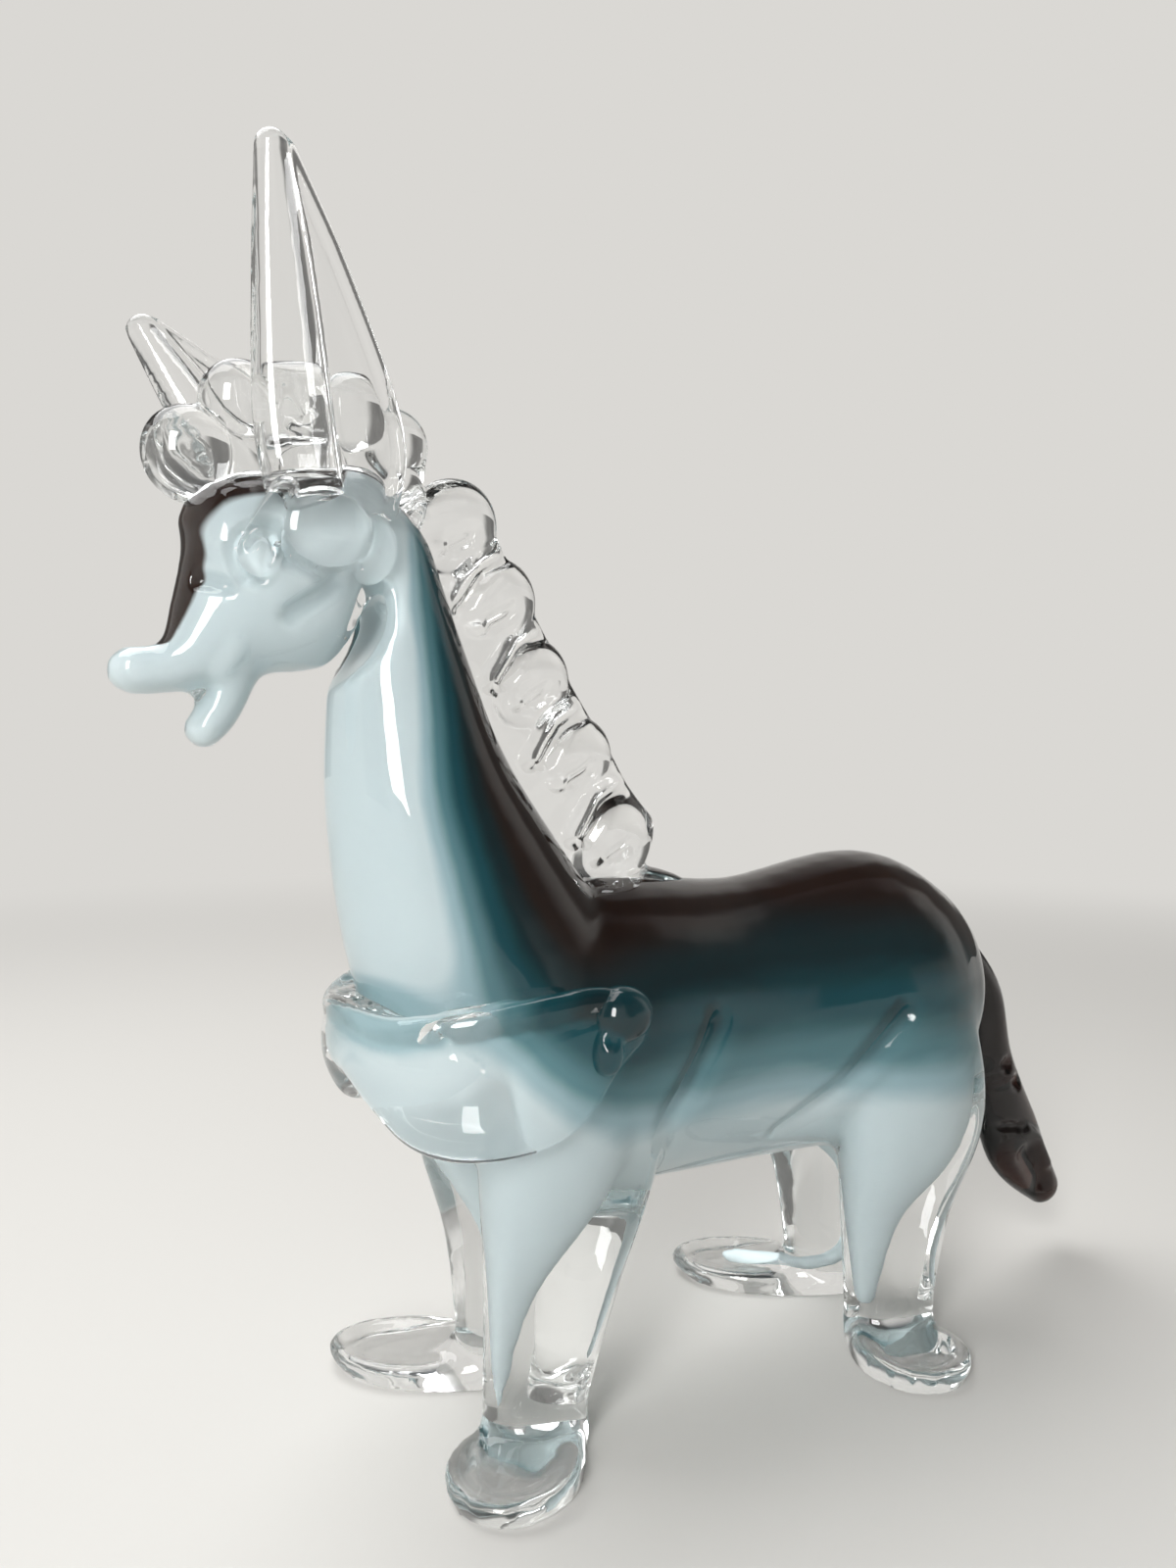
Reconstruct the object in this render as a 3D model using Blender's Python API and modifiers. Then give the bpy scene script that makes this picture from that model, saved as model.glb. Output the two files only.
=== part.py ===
"""Hot-worked glass horse: an opal core in a clear casing, with clear and smoke bits laid on it.

Metres, +Z up. The horse faces -X, its left side is -Y and its soles stand on z = 0.
"""

import math
from collections import namedtuple

import bmesh
import bpy
from mathutils import Matrix, Vector
from mathutils.geometry import intersect_point_line

# A cross-section of a pulled form: its centre, the half depth measured across the spine
# in the upright plane, and the half width measured across that.
Section = namedtuple("Section", "x y z depth width")


def past(base, along, up, depth, width, out=0.0):
    """A section set off from another along the body and upward; out is its own y."""
    return Section(base.x + along, out, base.z + up, depth, width)


def spot(base, along, up, out=0.0):
    """A bare point set off from a section, likewise."""
    return past(base, along, up, 0.0, 0.0, out)


# Main sizes
STANCE_HEIGHT = 0.0906  # floor to the middle of the barrel
BACK_LENGTH = 0.0970  # shoulder to croup
NECK_RISE = 0.1060  # root of the neck to its top
FACE_LENGTH = 0.0445  # poll to upper lip, measured along the body
EAR_LENGTH = 0.0734  # root to tip of the left ear
TAIL_FALL = 0.0900  # root to tip of the tail

# Joints between the pieces of glass
SEAM = 0.00035  # gap kept along every fused joint
FOOT_LAP = 0.004  # how far a foot runs up into its leg before it is trimmed
ANKLE_HEIGHT = 0.012  # where each leg ends and its foot begins

# Clear casing over the opal core
BODY_CASING = 0.0040
NECK_CASING = 0.0034
HEAD_CASING = 0.0028
LIP_CASING = 0.0017

# Torso from the barrel back to the rump and on to the chest: half depth is upright
BARREL = Section(0.0120, 0, STANCE_HEIGHT, 0.0388, 0.0290)
CROUP = past(BARREL, BACK_LENGTH * 0.4845, 0.0034, 0.0415, 0.0345)
RUMP = past(CROUP, 0.0240, 0.0010, 0.0305, 0.0260)
SHOULDER = past(BARREL, -BACK_LENGTH * 0.5155, 0.0030, 0.0390, 0.0345)
CHEST = past(SHOULDER, -0.0345, 0.0014, 0.0280, 0.0265)

# Neck, from inside the shoulder to the poll: half depth is fore and aft
NECK_BASE = past(SHOULDER, -0.0190, 0.0100, 0.0335, 0.0320)
NECK_LOW = past(NECK_BASE, -0.0120, NECK_RISE * 0.236, 0.0290, 0.0280)
NECK_MID = past(NECK_LOW, -0.0095, NECK_RISE * 0.255, 0.0225, 0.0225)
NECK_HIGH = past(NECK_MID, -0.0050, NECK_RISE * 0.264, 0.0165, 0.0170)
NECK_TOP = past(NECK_HIGH, -0.0045, NECK_RISE * 0.245, 0.0120, 0.0130)

# Head, from the poll down the face to the two lips
POLL = past(NECK_TOP, -0.0100, 0.0060, 0.0145, 0.0120)
CHEEK = past(POLL, -FACE_LENGTH * 0.315, -0.0110, 0.0245, 0.0160)
JOWL = past(CHEEK, -0.0045, -0.0061, 0.0222, 0.0150)
BRIDGE = past(CHEEK, -FACE_LENGTH * 0.258, -0.0130, 0.0140, 0.0115)
NOSE = past(BRIDGE, -FACE_LENGTH * 0.222, -0.0090, 0.0060, 0.0078)
UPPER_LIP = past(NOSE, -FACE_LENGTH * 0.205, -0.0012, 0.0052, 0.0070)
JAW = past(CHEEK, -0.0123, -0.0280, 0.0058, 0.0072)
LOWER_LIP = past(JAW, -0.0037, -0.0078, 0.0048, 0.0062)

# Slot between cheek and neck, top to bottom: half depth is half its opening
THROAT_WIDTH = 0.0300
THROAT = (
    past(POLL, 0.0068, -0.0156, 0.0014, THROAT_WIDTH),
    past(POLL, 0.0055, -0.0221, 0.0029, THROAT_WIDTH),
    past(POLL, 0.0018, -0.0296, 0.0026, THROAT_WIDTH),
    past(POLL, -0.0055, -0.0386, 0.0020, THROAT_WIDTH),
)
# Pads where the roots of the ears were pressed on: half length and half height, then the bulge
EAR_PAD = past(POLL, -0.0070, -0.0061, 0.0122, 0.0096, out=POLL.width + 0.0012)
NAPE_PAD = past(POLL, 0.0045, -0.0066, 0.0068, 0.0085, out=POLL.width - 0.0020)
EAR_PAD_BULGE = 0.0062
NAPE_PAD_BULGE = 0.0052

# Pinches of the tools on the right of the face, with how far they reach and how deep they are
BROW_MARK = (spot(CHEEK, -0.0186, -0.0041, out=CHEEK.width - 0.0075),
             spot(CHEEK, -0.0130, -0.0053, out=CHEEK.width - 0.0050))
CHEEK_MARK = (spot(CHEEK, 0.0001, -0.0109, out=CHEEK.width - 0.0010),
              spot(CHEEK, 0.0108, -0.0033, out=CHEEK.width - 0.0020))
FACE_REACH = 0.0044
FACE_PINCH = 0.0018

# Legs: the uppers are alike on both sides, out from the plane of symmetry
FRONT_TOP = past(SHOULDER, -0.0090, 0.0014, 0.0240, 0.0150, out=0.0200)
FRONT_ELBOW = past(FRONT_TOP, -0.0015, -0.0260, 0.0235, 0.0155, out=0.0205)
HIND_TOP = past(CROUP, -0.0015, -0.0010, 0.0240, 0.0150, out=0.0175)
HIND_STIFLE = past(HIND_TOP, 0.0025, -0.0290, 0.0255, 0.0155, out=0.0205)
# Each knee and ankle has its own place, as the horse stands a little askew
KNEE_FRONT_LEFT = past(FRONT_ELBOW, -0.0035, -0.0290, 0.0178, 0.0125, out=-0.0185)
KNEE_FRONT_RIGHT = past(FRONT_ELBOW, 0.0010, -0.0290, 0.0172, 0.0125, out=0.0185)
KNEE_HIND_LEFT = past(HIND_STIFLE, -0.0035, -0.0260, 0.0180, 0.0125, out=-0.0190)
KNEE_HIND_RIGHT = past(HIND_STIFLE, 0.0015, -0.0260, 0.0172, 0.0125, out=0.0185)
ANKLE_FRONT_LEFT = Section(KNEE_FRONT_LEFT.x - 0.0035, -0.0165, ANKLE_HEIGHT, 0.0135, 0.0108)
ANKLE_FRONT_RIGHT = Section(KNEE_FRONT_RIGHT.x - 0.0010, 0.0180, ANKLE_HEIGHT, 0.0130, 0.0108)
ANKLE_HIND_LEFT = Section(KNEE_HIND_LEFT.x - 0.0020, -0.0185, ANKLE_HEIGHT, 0.0140, 0.0108)
ANKLE_HIND_RIGHT = Section(KNEE_HIND_RIGHT.x - 0.0005, 0.0170, ANKLE_HEIGHT, 0.0132, 0.0108)
# Opal strands drawn down the legs: share of the leg's half depth and how far forward, at the two
# uppers, the knee and the ankle
STRANDS = {
    "front_left": ((0.83, 0.0), (0.80, 0.10), (0.38, 0.50), (0.29, 0.55)),
    "front_right": ((0.83, 0.0), (0.75, 0.05), (0.36, 0.05), (0.29, 0.05)),
    "hind_left": ((0.83, 0.0), (0.77, 0.08), (0.45, 0.42), (0.28, 0.55)),
    "hind_right": ((0.83, 0.0), (0.72, -0.05), (0.32, -0.35), (0.29, -0.40)),
}
# Creases on the right flank, where the legs were pulled out of the barrel
SHOULDER_CREASE = (spot(SHOULDER, 0.0255, 0.0049, out=SHOULDER.width - 0.0035),
                   spot(SHOULDER, 0.0162, -0.0094, out=SHOULDER.width - 0.0020),
                   spot(SHOULDER, 0.0080, -0.0229, out=SHOULDER.width - 0.0020))
HAUNCH_CREASE = (spot(CROUP, -0.0117, 0.0, out=CROUP.width - 0.0005),
                 spot(CROUP, -0.0287, -0.0180, out=CROUP.width - 0.0040),
                 spot(CROUP, -0.0450, -0.0300, out=CROUP.width - 0.0115))
CREASE_REACH = 0.0056
CREASE_DEPTH = 0.0032

# Feet: the reach is from ankle centre to toe, the splay in degrees outward of straight ahead
REACH_FRONT_LEFT = 0.0360
REACH_FRONT_RIGHT = 0.0475
REACH_HIND_LEFT = 0.0350
REACH_HIND_RIGHT = 0.0475
SPLAY_FRONT_LEFT = 47.0
SPLAY_FRONT_RIGHT = 34.0
SPLAY_HIND_LEFT = 67.0
SPLAY_HIND_RIGHT = 38.0
FOOT_WIDTH = 0.0310
HEEL_HEIGHT = 0.0100  # thickness of the tongue under the leg
INSTEP_HEIGHT = 0.0076
FOOT_DISH = 0.0046  # thickness inside the rim
FOOT_RIM = 0.0026  # radius of the rolled rim
RIM_HEIGHT = 1.5  # middle of the rim above the floor, as a share of that radius
RIM_SWEEP = 115.0  # degrees the rim runs back from the toe on each side
# The tongue, heel to toe: share of the reach, thickness and share of the foot's width
TONGUE = ((0.0, HEEL_HEIGHT, 0.80), (0.32, INSTEP_HEIGHT, 0.98), (0.60, FOOT_DISH, 0.94),
          (0.80, FOOT_DISH, 0.62))

# Mane: a web from the back of the neck up to a row of lobes that bows toward the neck
MANE_LOBES = 5
MANE_FIRST = spot(NECK_TOP, 0.0211, 0.0094)
MANE_LAST = spot(SHOULDER, 0.0145, 0.0493)
MANE_BOW = Vector((-0.0018, 0, 0.0010))
MANE_LEAD = 0.0040  # how far the web runs on above the first lobe
MANE_WEB = 0.0062  # half thickness of the web
LOBE_REACH = 0.0132  # half size of a lobe outward of the neck
LOBE_SWELL = 0.0078  # across the neck
LOBE_SPAN = 0.55  # along the row, as a share of the space it has
LOBE_SET_IN = 0.0036
LOBE_SWAY = 0.0010  # how far the lobes lean to one side and the other by turns
LOBE_TILT = 0.12
LOBE_TURN = 14.0  # degrees each lobe is twisted about its own axis
WITHERS = spot(SHOULDER, 0.0200, 0.0374)
WITHERS_PAD = Vector((0.0165, 0.0062, 0.0036))
WITHERS_SLOPE = Vector((0.98, 0, -0.18))
# Crimp between two lobes: shares of the way to the next lobe and of the reach outward
FOLD = ((0.50, 0.70), (0.52, -0.10), (0.74, -0.80))
FOLD_REACH = 0.0040
FOLD_DEPTH = 0.0030
WEB_PAST = 0.0060  # how far a web runs past its lobes and into the glass
WEB_SINK = 0.0020  # how far the foot of the mane lies under the skin of the neck
WEB_STEPS = 8

# Forelock lumps, brow to nape: half height and half thickness
FORELOCK = (
    past(CHEEK, -0.0180, 0.0234, 0.0108, 0.0093),
    past(CHEEK, -0.0075, 0.0352, 0.0098, 0.0084, out=-0.0015),
    past(POLL, -0.0095, 0.0244, 0.0100, 0.0086, out=0.0010),
    past(POLL, 0.0020, 0.0239, 0.0104, 0.0089, out=-0.0010),
    past(POLL, 0.0130, 0.0194, 0.0096, 0.0083, out=0.0010),
)
LUMP_SPAN = 0.95  # half length of a lump as a share of its half height
FORELOCK_WEB = 0.0062
BROW = spot(CHEEK, -0.0110, 0.0144)
CROWN = spot(POLL, 0.0, 0.0094)
NAPE = spot(NECK_TOP, 0.0060, 0.0094)
BROW_LEAN = -0.6  # slope of the first lump, forward, and how much less each next one leans
LEAN_STEP = 0.3
NAPE_DROP = spot(NECK_TOP, 0.0057, 0.0119, out=-0.0050)
DROP_SIZE = Vector((0.0042, 0.0038, 0.0075))

# Left ear, root to tip; the right one is a shorter pull that leans forward and outward
EAR_ROOT = past(POLL, -0.0040, 0.0020, 0.0145, 0.0062, out=POLL.width)
EAR_BASE = past(EAR_ROOT, -0.0010, EAR_LENGTH * 0.237, 0.0168, 0.0060, out=EAR_ROOT.y + 0.0005)
EAR_MID = past(EAR_BASE, -0.0055, EAR_LENGTH * 0.395, 0.0115, 0.0048, out=EAR_BASE.y + 0.0005)
EAR_TIP = past(EAR_MID, -0.0065, EAR_LENGTH * 0.368, 0.0044, 0.0038, out=EAR_MID.y + 0.0010)
EAR_RIB = (1.35, 1.45, 1.40, 1.00)  # depth of the front rib as a share of its width
EAR_EDGE = 0.0021  # radius of the thin rear edge
EAR_WEB = 0.34  # thickness of the web as a share of the front rib's
RIGHT_EAR_SHARE = 0.77  # its length as a share of the left ear's
RIGHT_EAR_LEAN = 22.0
RIGHT_EAR_SPREAD = 16.0

# Eyes: a bead on the cheek with a tail drawn up toward the ear
EYE = past(CHEEK, -0.0070, 0.0012, 0.0062, 0.0058, out=CHEEK.width - 0.0018)
EYE_BULGE = 0.0042
EYE_TAIL = (
    past(CHEEK, -0.0060, 0.0044, 0.0046, 0.0036, out=CHEEK.width - 0.0018),
    past(CHEEK, -0.0040, 0.0099, 0.0034, 0.0032, out=CHEEK.width - 0.0022),
    past(CHEEK, -0.0005, 0.0159, 0.0026, 0.0030, out=CHEEK.width - 0.0032),
)

# Collar, right half from its folded end to the breast: half depth is half its thickness
COLLAR = (
    past(NECK_BASE, 0.0120, -0.0006, 0.0070, 0.0080, out=NECK_BASE.width + 0.0045),
    past(NECK_BASE, 0.0040, -0.0038, 0.0062, 0.0126, out=NECK_BASE.width + 0.0040),
    past(NECK_BASE, -0.0070, -0.0096, 0.0060, 0.0172, out=NECK_BASE.width + 0.0025),
    past(CHEST, -0.0035, -0.0030, 0.0062, 0.0174, out=CHEST.width + 0.0050),
    past(CHEST, -0.0125, -0.0034, 0.0066, 0.0160, out=CHEST.width - 0.0015),
    past(CHEST, -0.0180, -0.0010, 0.0070, 0.0122, out=CHEST.width - 0.0105),
)
COLLAR_FRONT = past(CHEST, -0.0205, 0.0030, 0.0074, 0.0096)
COLLAR_LIP = 0.0034  # radius of the rolled upper edge
COLLAR_FLARE = 0.0034  # how far that edge stands out beyond the band
COLLAR_KNOB = Vector((0.0088, 0.0074, 0.0110))  # half sizes of the fold at each end
KNOB_SINK = 0.0015  # how far its middle lies below the band's

# Tail, root to tip: half depth is the flat of the paddle
TAIL_ROOT = past(RUMP, 0.0070, 0.0146, 0.0065, 0.0070)
TAIL_BEND = past(TAIL_ROOT, 0.0185, -TAIL_FALL * 0.222, 0.0070, 0.0065)
TAIL_DROP = past(TAIL_BEND, 0.0060, -TAIL_FALL * 0.267, 0.0080, 0.0060)
TAIL_PADDLE = past(TAIL_DROP, 0.0105, -TAIL_FALL * 0.300, 0.0115, 0.0055)
TAIL_TIP = past(TAIL_PADDLE, 0.0150, -TAIL_FALL * 0.211, 0.0060, 0.0048)

# How each form is melted together, and the share of its fine faces that is kept
BODY_VOXEL = 0.0022
BIT_VOXEL = 0.0013
EAR_VOXEL = 0.0011
EYE_VOXEL = 0.0007
BODY_FLOW = 11
BIT_FLOW = 4
CASING_KEEP = 0.058
CORE_KEEP = 0.047
MANE_KEEP = 0.074
FORELOCK_KEEP = 0.072
EAR_KEEP = 0.048
EYE_KEEP = 0.050
COLLAR_KEEP = 0.047
TAIL_KEEP = 0.066
FOOT_KEEP = 0.070

LEFT = -1
RIGHT = 1
UP = Vector((0, 0, 1))
ACROSS = Vector((0, 1, 0))
SLAB = 0.5  # half size of the slabs that trim ankles and soles
RIM_STEPS = 12
CAP_TURN = math.radians(84)  # how far each rounded end turns in before it is closed
CAP_RINGS = 4
SLOTS = {}

# A line of points to press into a form, how far to each side it reaches and how deep it is
Mark = namedtuple("Mark", "points reach depth")


def clear_scene():
    """Remove what the start-up file put in the scene."""
    for obj in list(bpy.data.objects):
        bpy.data.objects.remove(obj)


def new_collection(name):
    """A collection linked to the scene."""
    collection = bpy.data.collections.new(name)
    bpy.context.scene.collection.children.link(collection)
    return collection


def glass(name, colour, roughness, transmission):
    """A Principled glass."""
    material = bpy.data.materials.new(name)
    material.use_nodes = True
    shader = material.node_tree.nodes["Principled BSDF"]
    shader.inputs["Base Color"].default_value = (*colour, 1.0)
    shader.inputs["Roughness"].default_value = roughness
    shader.inputs["Metallic"].default_value = 0.0
    shader.inputs["IOR"].default_value = 1.5
    shader.inputs["Transmission Weight"].default_value = transmission
    material.diffuse_color = (*colour, 1.0)
    return material


def blend(a, b, c, d, t):
    """Catmull-Rom value between b and c."""
    slope_in = (c - a) / 2
    slope_out = (d - b) / 2
    return ((2 * t**3 - 3 * t**2 + 1) * b + (t**3 - 2 * t**2 + t) * slope_in
            + (3 * t**2 - 2 * t**3) * c + (t**3 - t**2) * slope_out)


def spread(sections, steps):
    """Sections on a smooth curve through the given ones."""
    padded = [sections[0], *sections, sections[-1]]
    run = []
    for four in zip(padded, padded[1:], padded[2:], padded[3:]):
        for step in range(steps):
            run.append(Section(*(blend(*values, step / steps) for values in zip(*four))))
    run.append(sections[-1])
    return run


def centre(section):
    """Centre of a section as a vector."""
    return Vector(section[:3])


def frame_at(run, index, across):
    """Spine direction, depth axis and width axis of one section of a run."""
    along = centre(run[min(index + 1, len(run) - 1)]) - centre(run[max(index - 1, 0)])
    along.normalize()
    width_axis = (across - along * across.dot(along)).normalized()
    return along, along.cross(width_axis), width_axis


def add_ring(bm, middle, depth_arm, width_arm, sides):
    """One ellipse of vertices."""
    ring = []
    for side in range(sides):
        turn = 2 * math.pi * side / sides
        ring.append(bm.verts.new(middle + depth_arm * math.cos(turn) + width_arm * math.sin(turn)))
    return ring


def end_rings(section, inner):
    """Lifts and shares of the rings that round off an end and carry on its taper."""
    step = (centre(section) - centre(inner)).length
    lean = math.atan(max(0.0, (inner.depth - section.depth) / step))
    reach = min(section.depth, section.width) / math.cos(lean)
    rings = []
    for index in range(1, CAP_RINGS + 1):
        turn = lean + (CAP_TURN - lean) * index / CAP_RINGS
        lift = (math.sin(turn) - math.sin(lean)) * reach
        rings.append((lift, math.cos(turn) / math.cos(lean)))
    return rings


def loft(bm, sections, across=ACROSS, sides=20, steps=4):
    """Skin a closed tube through unlike sections, with rounded ends."""
    run = spread(sections, steps)
    last = len(run) - 1
    rings = []
    for index, section in enumerate(run):
        along, depth_axis, width_axis = frame_at(run, index, across)
        tips = [(0.0, 1.0)]
        if index == 0:
            tips = [(-lift, share) for lift, share in reversed(end_rings(section, run[1]))] + tips
        if index == last:
            tips = tips + end_rings(section, run[last - 1])
        for lift, share in tips:
            rings.append(add_ring(bm, centre(section) + along * lift,
                                  depth_axis * section.depth * share,
                                  width_axis * section.width * share, sides))
    for ring, following in zip(rings, rings[1:]):
        for side in range(sides):
            near = (side + 1) % sides
            bm.faces.new((ring[side], ring[near], following[near], following[side]))
    bm.faces.new(rings[0][::-1])
    bm.faces.new(rings[-1])


def blob(bm, middle, radii, axis=None, turned=0.0):
    """An ellipsoid; its first radius lies along the axis, about which it may be turned."""
    turn = Matrix.Identity(3)
    if axis is not None:
        first = axis.normalized()
        second = (ACROSS - first * ACROSS.dot(first)).normalized()
        turn = Matrix((first, second, first.cross(second))).transposed()
        turn = Matrix.Rotation(math.radians(turned), 3, first) @ turn
    bmesh.ops.create_uvsphere(bm, u_segments=20, v_segments=12, radius=1.0,
                              matrix=Matrix.LocRotScale(middle, turn, Vector(radii)))


def gap_to(point, start, end):
    """Distance from a point to a stretch of line."""
    nearest, share = intersect_point_line(point, start, end)
    if share < 0:
        nearest = start
    if share > 1:
        nearest = end
    return (point - nearest).length


def press(mesh, marks):
    """Press the marks of the tools into a mesh."""
    bm = bmesh.new()
    bm.from_mesh(mesh)
    bm.normal_update()
    for mark in marks:
        moves = []
        for vert in bm.verts:
            gap = min(gap_to(vert.co, a, b) for a, b in zip(mark.points, mark.points[1:]))
            if gap < mark.reach:
                moves.append((vert, mark.depth * (1 - (gap / mark.reach) ** 2) ** 2))
        for vert, move in moves:
            vert.co -= vert.normal * move
    bm.to_mesh(mesh)
    bm.free()


def both_sides(line, wall, reach, depth):
    """A mark along a line of the right side and one on the left, a wall further in."""
    marks = []
    for side in (LEFT, RIGHT):
        points = [Vector((mark.x, side * (mark.y - wall), mark.z)) for mark in line]
        marks.append(Mark(points, reach, depth))
    return marks


def bake(holder):
    """Apply a holder's modifiers to its mesh."""
    graph = bpy.context.evaluated_depsgraph_get()
    mesh = bpy.data.meshes.new_from_object(holder.evaluated_get(graph))
    rough = holder.data
    holder.modifiers.clear()
    holder.data = mesh
    bpy.data.meshes.remove(rough)


def closed_mesh(name, bm):
    """A mesh of the closed shells of bm, facing outward."""
    bmesh.ops.recalc_face_normals(bm, faces=bm.faces)
    mesh = bpy.data.meshes.new(name)
    bm.to_mesh(mesh)
    bm.free()
    return mesh


def melt(name, bm, voxel, flow, keep, marks=()):
    """Fuse the overlapping lofts of bm into one smooth closed mesh with tool marks in it."""
    holder = bpy.data.objects.new(name + "_rough", closed_mesh(name + "_rough", bm))
    bpy.context.scene.collection.objects.link(holder)
    fuse = holder.modifiers.new("Fuse", "REMESH")
    fuse.mode = "VOXEL"
    fuse.voxel_size = voxel
    relax = holder.modifiers.new("Relax", "SMOOTH")
    relax.factor = 0.5
    relax.iterations = flow
    bake(holder)
    press(holder.data, marks)
    thin = holder.modifiers.new("Thin", "DECIMATE")
    thin.ratio = keep
    thin.use_collapse_triangulate = True
    bake(holder)
    mesh = holder.data
    mesh.name = name
    bpy.data.objects.remove(holder)
    mesh.shade_smooth()
    return mesh


def place(name, mesh, collection):
    """An object in a collection."""
    obj = bpy.data.objects.new(name, mesh)
    collection.objects.link(obj)
    return obj


def cutter(name, mesh, grow):
    """A hidden tool: the mesh grown evenly by the seam."""
    obj = place(name, mesh, SLOTS["cutters"])
    obj.display_type = "WIRE"
    obj.hide_render = True
    if grow:
        swell = obj.modifiers.new("Seam", "DISPLACE")
        swell.direction = "NORMAL"
        swell.mid_level = 0.0
        swell.strength = grow
    return obj


def slab(name, bottom, top):
    """A wide flat cutter between two heights."""
    bm = bmesh.new()
    bmesh.ops.create_cube(bm, size=1.0)
    bmesh.ops.scale(bm, vec=(2 * SLAB, 2 * SLAB, top - bottom), verts=bm.verts)
    bmesh.ops.translate(bm, vec=(0, 0, (top + bottom) / 2), verts=bm.verts)
    return cutter(name, closed_mesh(name, bm), 0)


def throat(name, wall):
    """The cutter that keeps cheek and neck apart, with a wall left about the slot."""
    bm = bmesh.new()
    loft(bm, [section._replace(depth=section.depth + wall) for section in THROAT])
    return cutter(name, closed_mesh(name, bm), 0)


def trim(obj, tool):
    """Cut a tool out of a piece."""
    step = obj.modifiers.new("Trim " + tool.name, "BOOLEAN")
    step.operation = "DIFFERENCE"
    step.solver = "EXACT"
    step.object = tool


def piece(name, mesh, material, tools):
    """A finished piece of the figurine."""
    obj = place(name, mesh, SLOTS["pieces"])
    mesh.materials.clear()
    mesh.materials.append(material)
    for tool in tools:
        trim(obj, tool)
    return obj


def mirrored(section, side):
    """A section of one side, put on the left or the right."""
    return section._replace(y=section.y * side)


def thinner(section, wall):
    """A section of the core under a casing of the given wall."""
    return section._replace(depth=section.depth - wall, width=section.width - wall)


def leg_sections(leg):
    """Sections of one leg, run on past the ankle so that the ankle cut is clean."""
    sections = [mirrored(section, leg.side) for section in leg.uppers]
    return sections + [leg.knee, leg.ankle, leg.ankle._replace(z=-ANKLE_HEIGHT)]


def body_marks(wall):
    """Creases of the flanks and pinches of the face, a wall under the skin."""
    marks = []
    for crease in (SHOULDER_CREASE, HAUNCH_CREASE):
        marks += both_sides(crease, wall, CREASE_REACH + wall, CREASE_DEPTH)
    for pinch in (BROW_MARK, CHEEK_MARK):
        marks += both_sides(pinch, wall, FACE_REACH + wall, FACE_PINCH)
    return marks


TORSO = (RUMP, CROUP, BARREL, SHOULDER, CHEST)
NECK = (NECK_BASE, NECK_LOW, NECK_MID, NECK_HIGH, NECK_TOP)
FACE = (POLL, CHEEK, JOWL, BRIDGE, NOSE, UPPER_LIP)
CHIN = (CHEEK._replace(depth=JAW.depth, width=JAW.width), JAW, LOWER_LIP)
FRONT = (FRONT_TOP, FRONT_ELBOW)
HIND = (HIND_TOP, HIND_STIFLE)
Leg = namedtuple("Leg", "name side uppers knee ankle reach splay")
LEGS = (
    Leg("front_left", LEFT, FRONT, KNEE_FRONT_LEFT, ANKLE_FRONT_LEFT,
        REACH_FRONT_LEFT, SPLAY_FRONT_LEFT),
    Leg("front_right", RIGHT, FRONT, KNEE_FRONT_RIGHT, ANKLE_FRONT_RIGHT,
        REACH_FRONT_RIGHT, SPLAY_FRONT_RIGHT),
    Leg("hind_left", LEFT, HIND, KNEE_HIND_LEFT, ANKLE_HIND_LEFT,
        REACH_HIND_LEFT, SPLAY_HIND_LEFT),
    Leg("hind_right", RIGHT, HIND, KNEE_HIND_RIGHT, ANKLE_HIND_RIGHT,
        REACH_HIND_RIGHT, SPLAY_HIND_RIGHT),
)


def casing_mesh():
    """Outer skin of the one gather: torso, neck, head and the four pulled legs."""
    bm = bmesh.new()
    loft(bm, TORSO, sides=28)
    loft(bm, NECK, sides=24)
    loft(bm, (NECK_TOP, POLL))
    loft(bm, FACE)
    loft(bm, CHIN)
    for leg in LEGS:
        loft(bm, leg_sections(leg))
    for pad, bulge in ((EAR_PAD, EAR_PAD_BULGE), (NAPE_PAD, NAPE_PAD_BULGE)):
        for side in (LEFT, RIGHT):
            blob(bm, centre(mirrored(pad, side)), (pad.depth, bulge, pad.width))
    return melt("casing_skin", bm, BODY_VOXEL, BODY_FLOW, CASING_KEEP, body_marks(0))


def strand_sections(leg):
    """The opal strand drawn down one leg and cut off under the ankle."""
    stations = [mirrored(section, leg.side) for section in leg.uppers] + [leg.knee, leg.ankle]
    strand = []
    for section, (share, forward) in zip(stations, STRANDS[leg.name]):
        strand.append(section._replace(x=section.x - section.depth * forward,
                                       depth=section.depth * share,
                                       width=section.width * share))
    return strand + [strand[-1]._replace(z=-ANKLE_HEIGHT)]


def core_mesh():
    """The opal core, run into both lips and down each leg as a strand."""
    bm = bmesh.new()
    loft(bm, [thinner(section, BODY_CASING) for section in TORSO], sides=28)
    loft(bm, [thinner(section, NECK_CASING) for section in NECK], sides=24)
    loft(bm, [thinner(section, HEAD_CASING) for section in (NECK_TOP, POLL)])
    loft(bm, [thinner(section, HEAD_CASING) for section in FACE])
    loft(bm, [thinner(section, LIP_CASING) for section in CHIN])
    for leg in LEGS:
        loft(bm, strand_sections(leg))
    return melt("core_skin", bm, BODY_VOXEL, BODY_FLOW, CORE_KEEP, body_marks(BODY_CASING))


def share_along(points, share):
    """The point at a share of the way along a line of points."""
    lengths = [0.0]
    for a, b in zip(points, points[1:]):
        lengths.append(lengths[-1] + (b - a).length)
    want = lengths[-1] * share
    step = max(i for i in range(len(points) - 1) if lengths[i] <= want)
    part = (want - lengths[step]) / (lengths[step + 1] - lengths[step])
    return points[step].lerp(points[step + 1], part)


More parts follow.
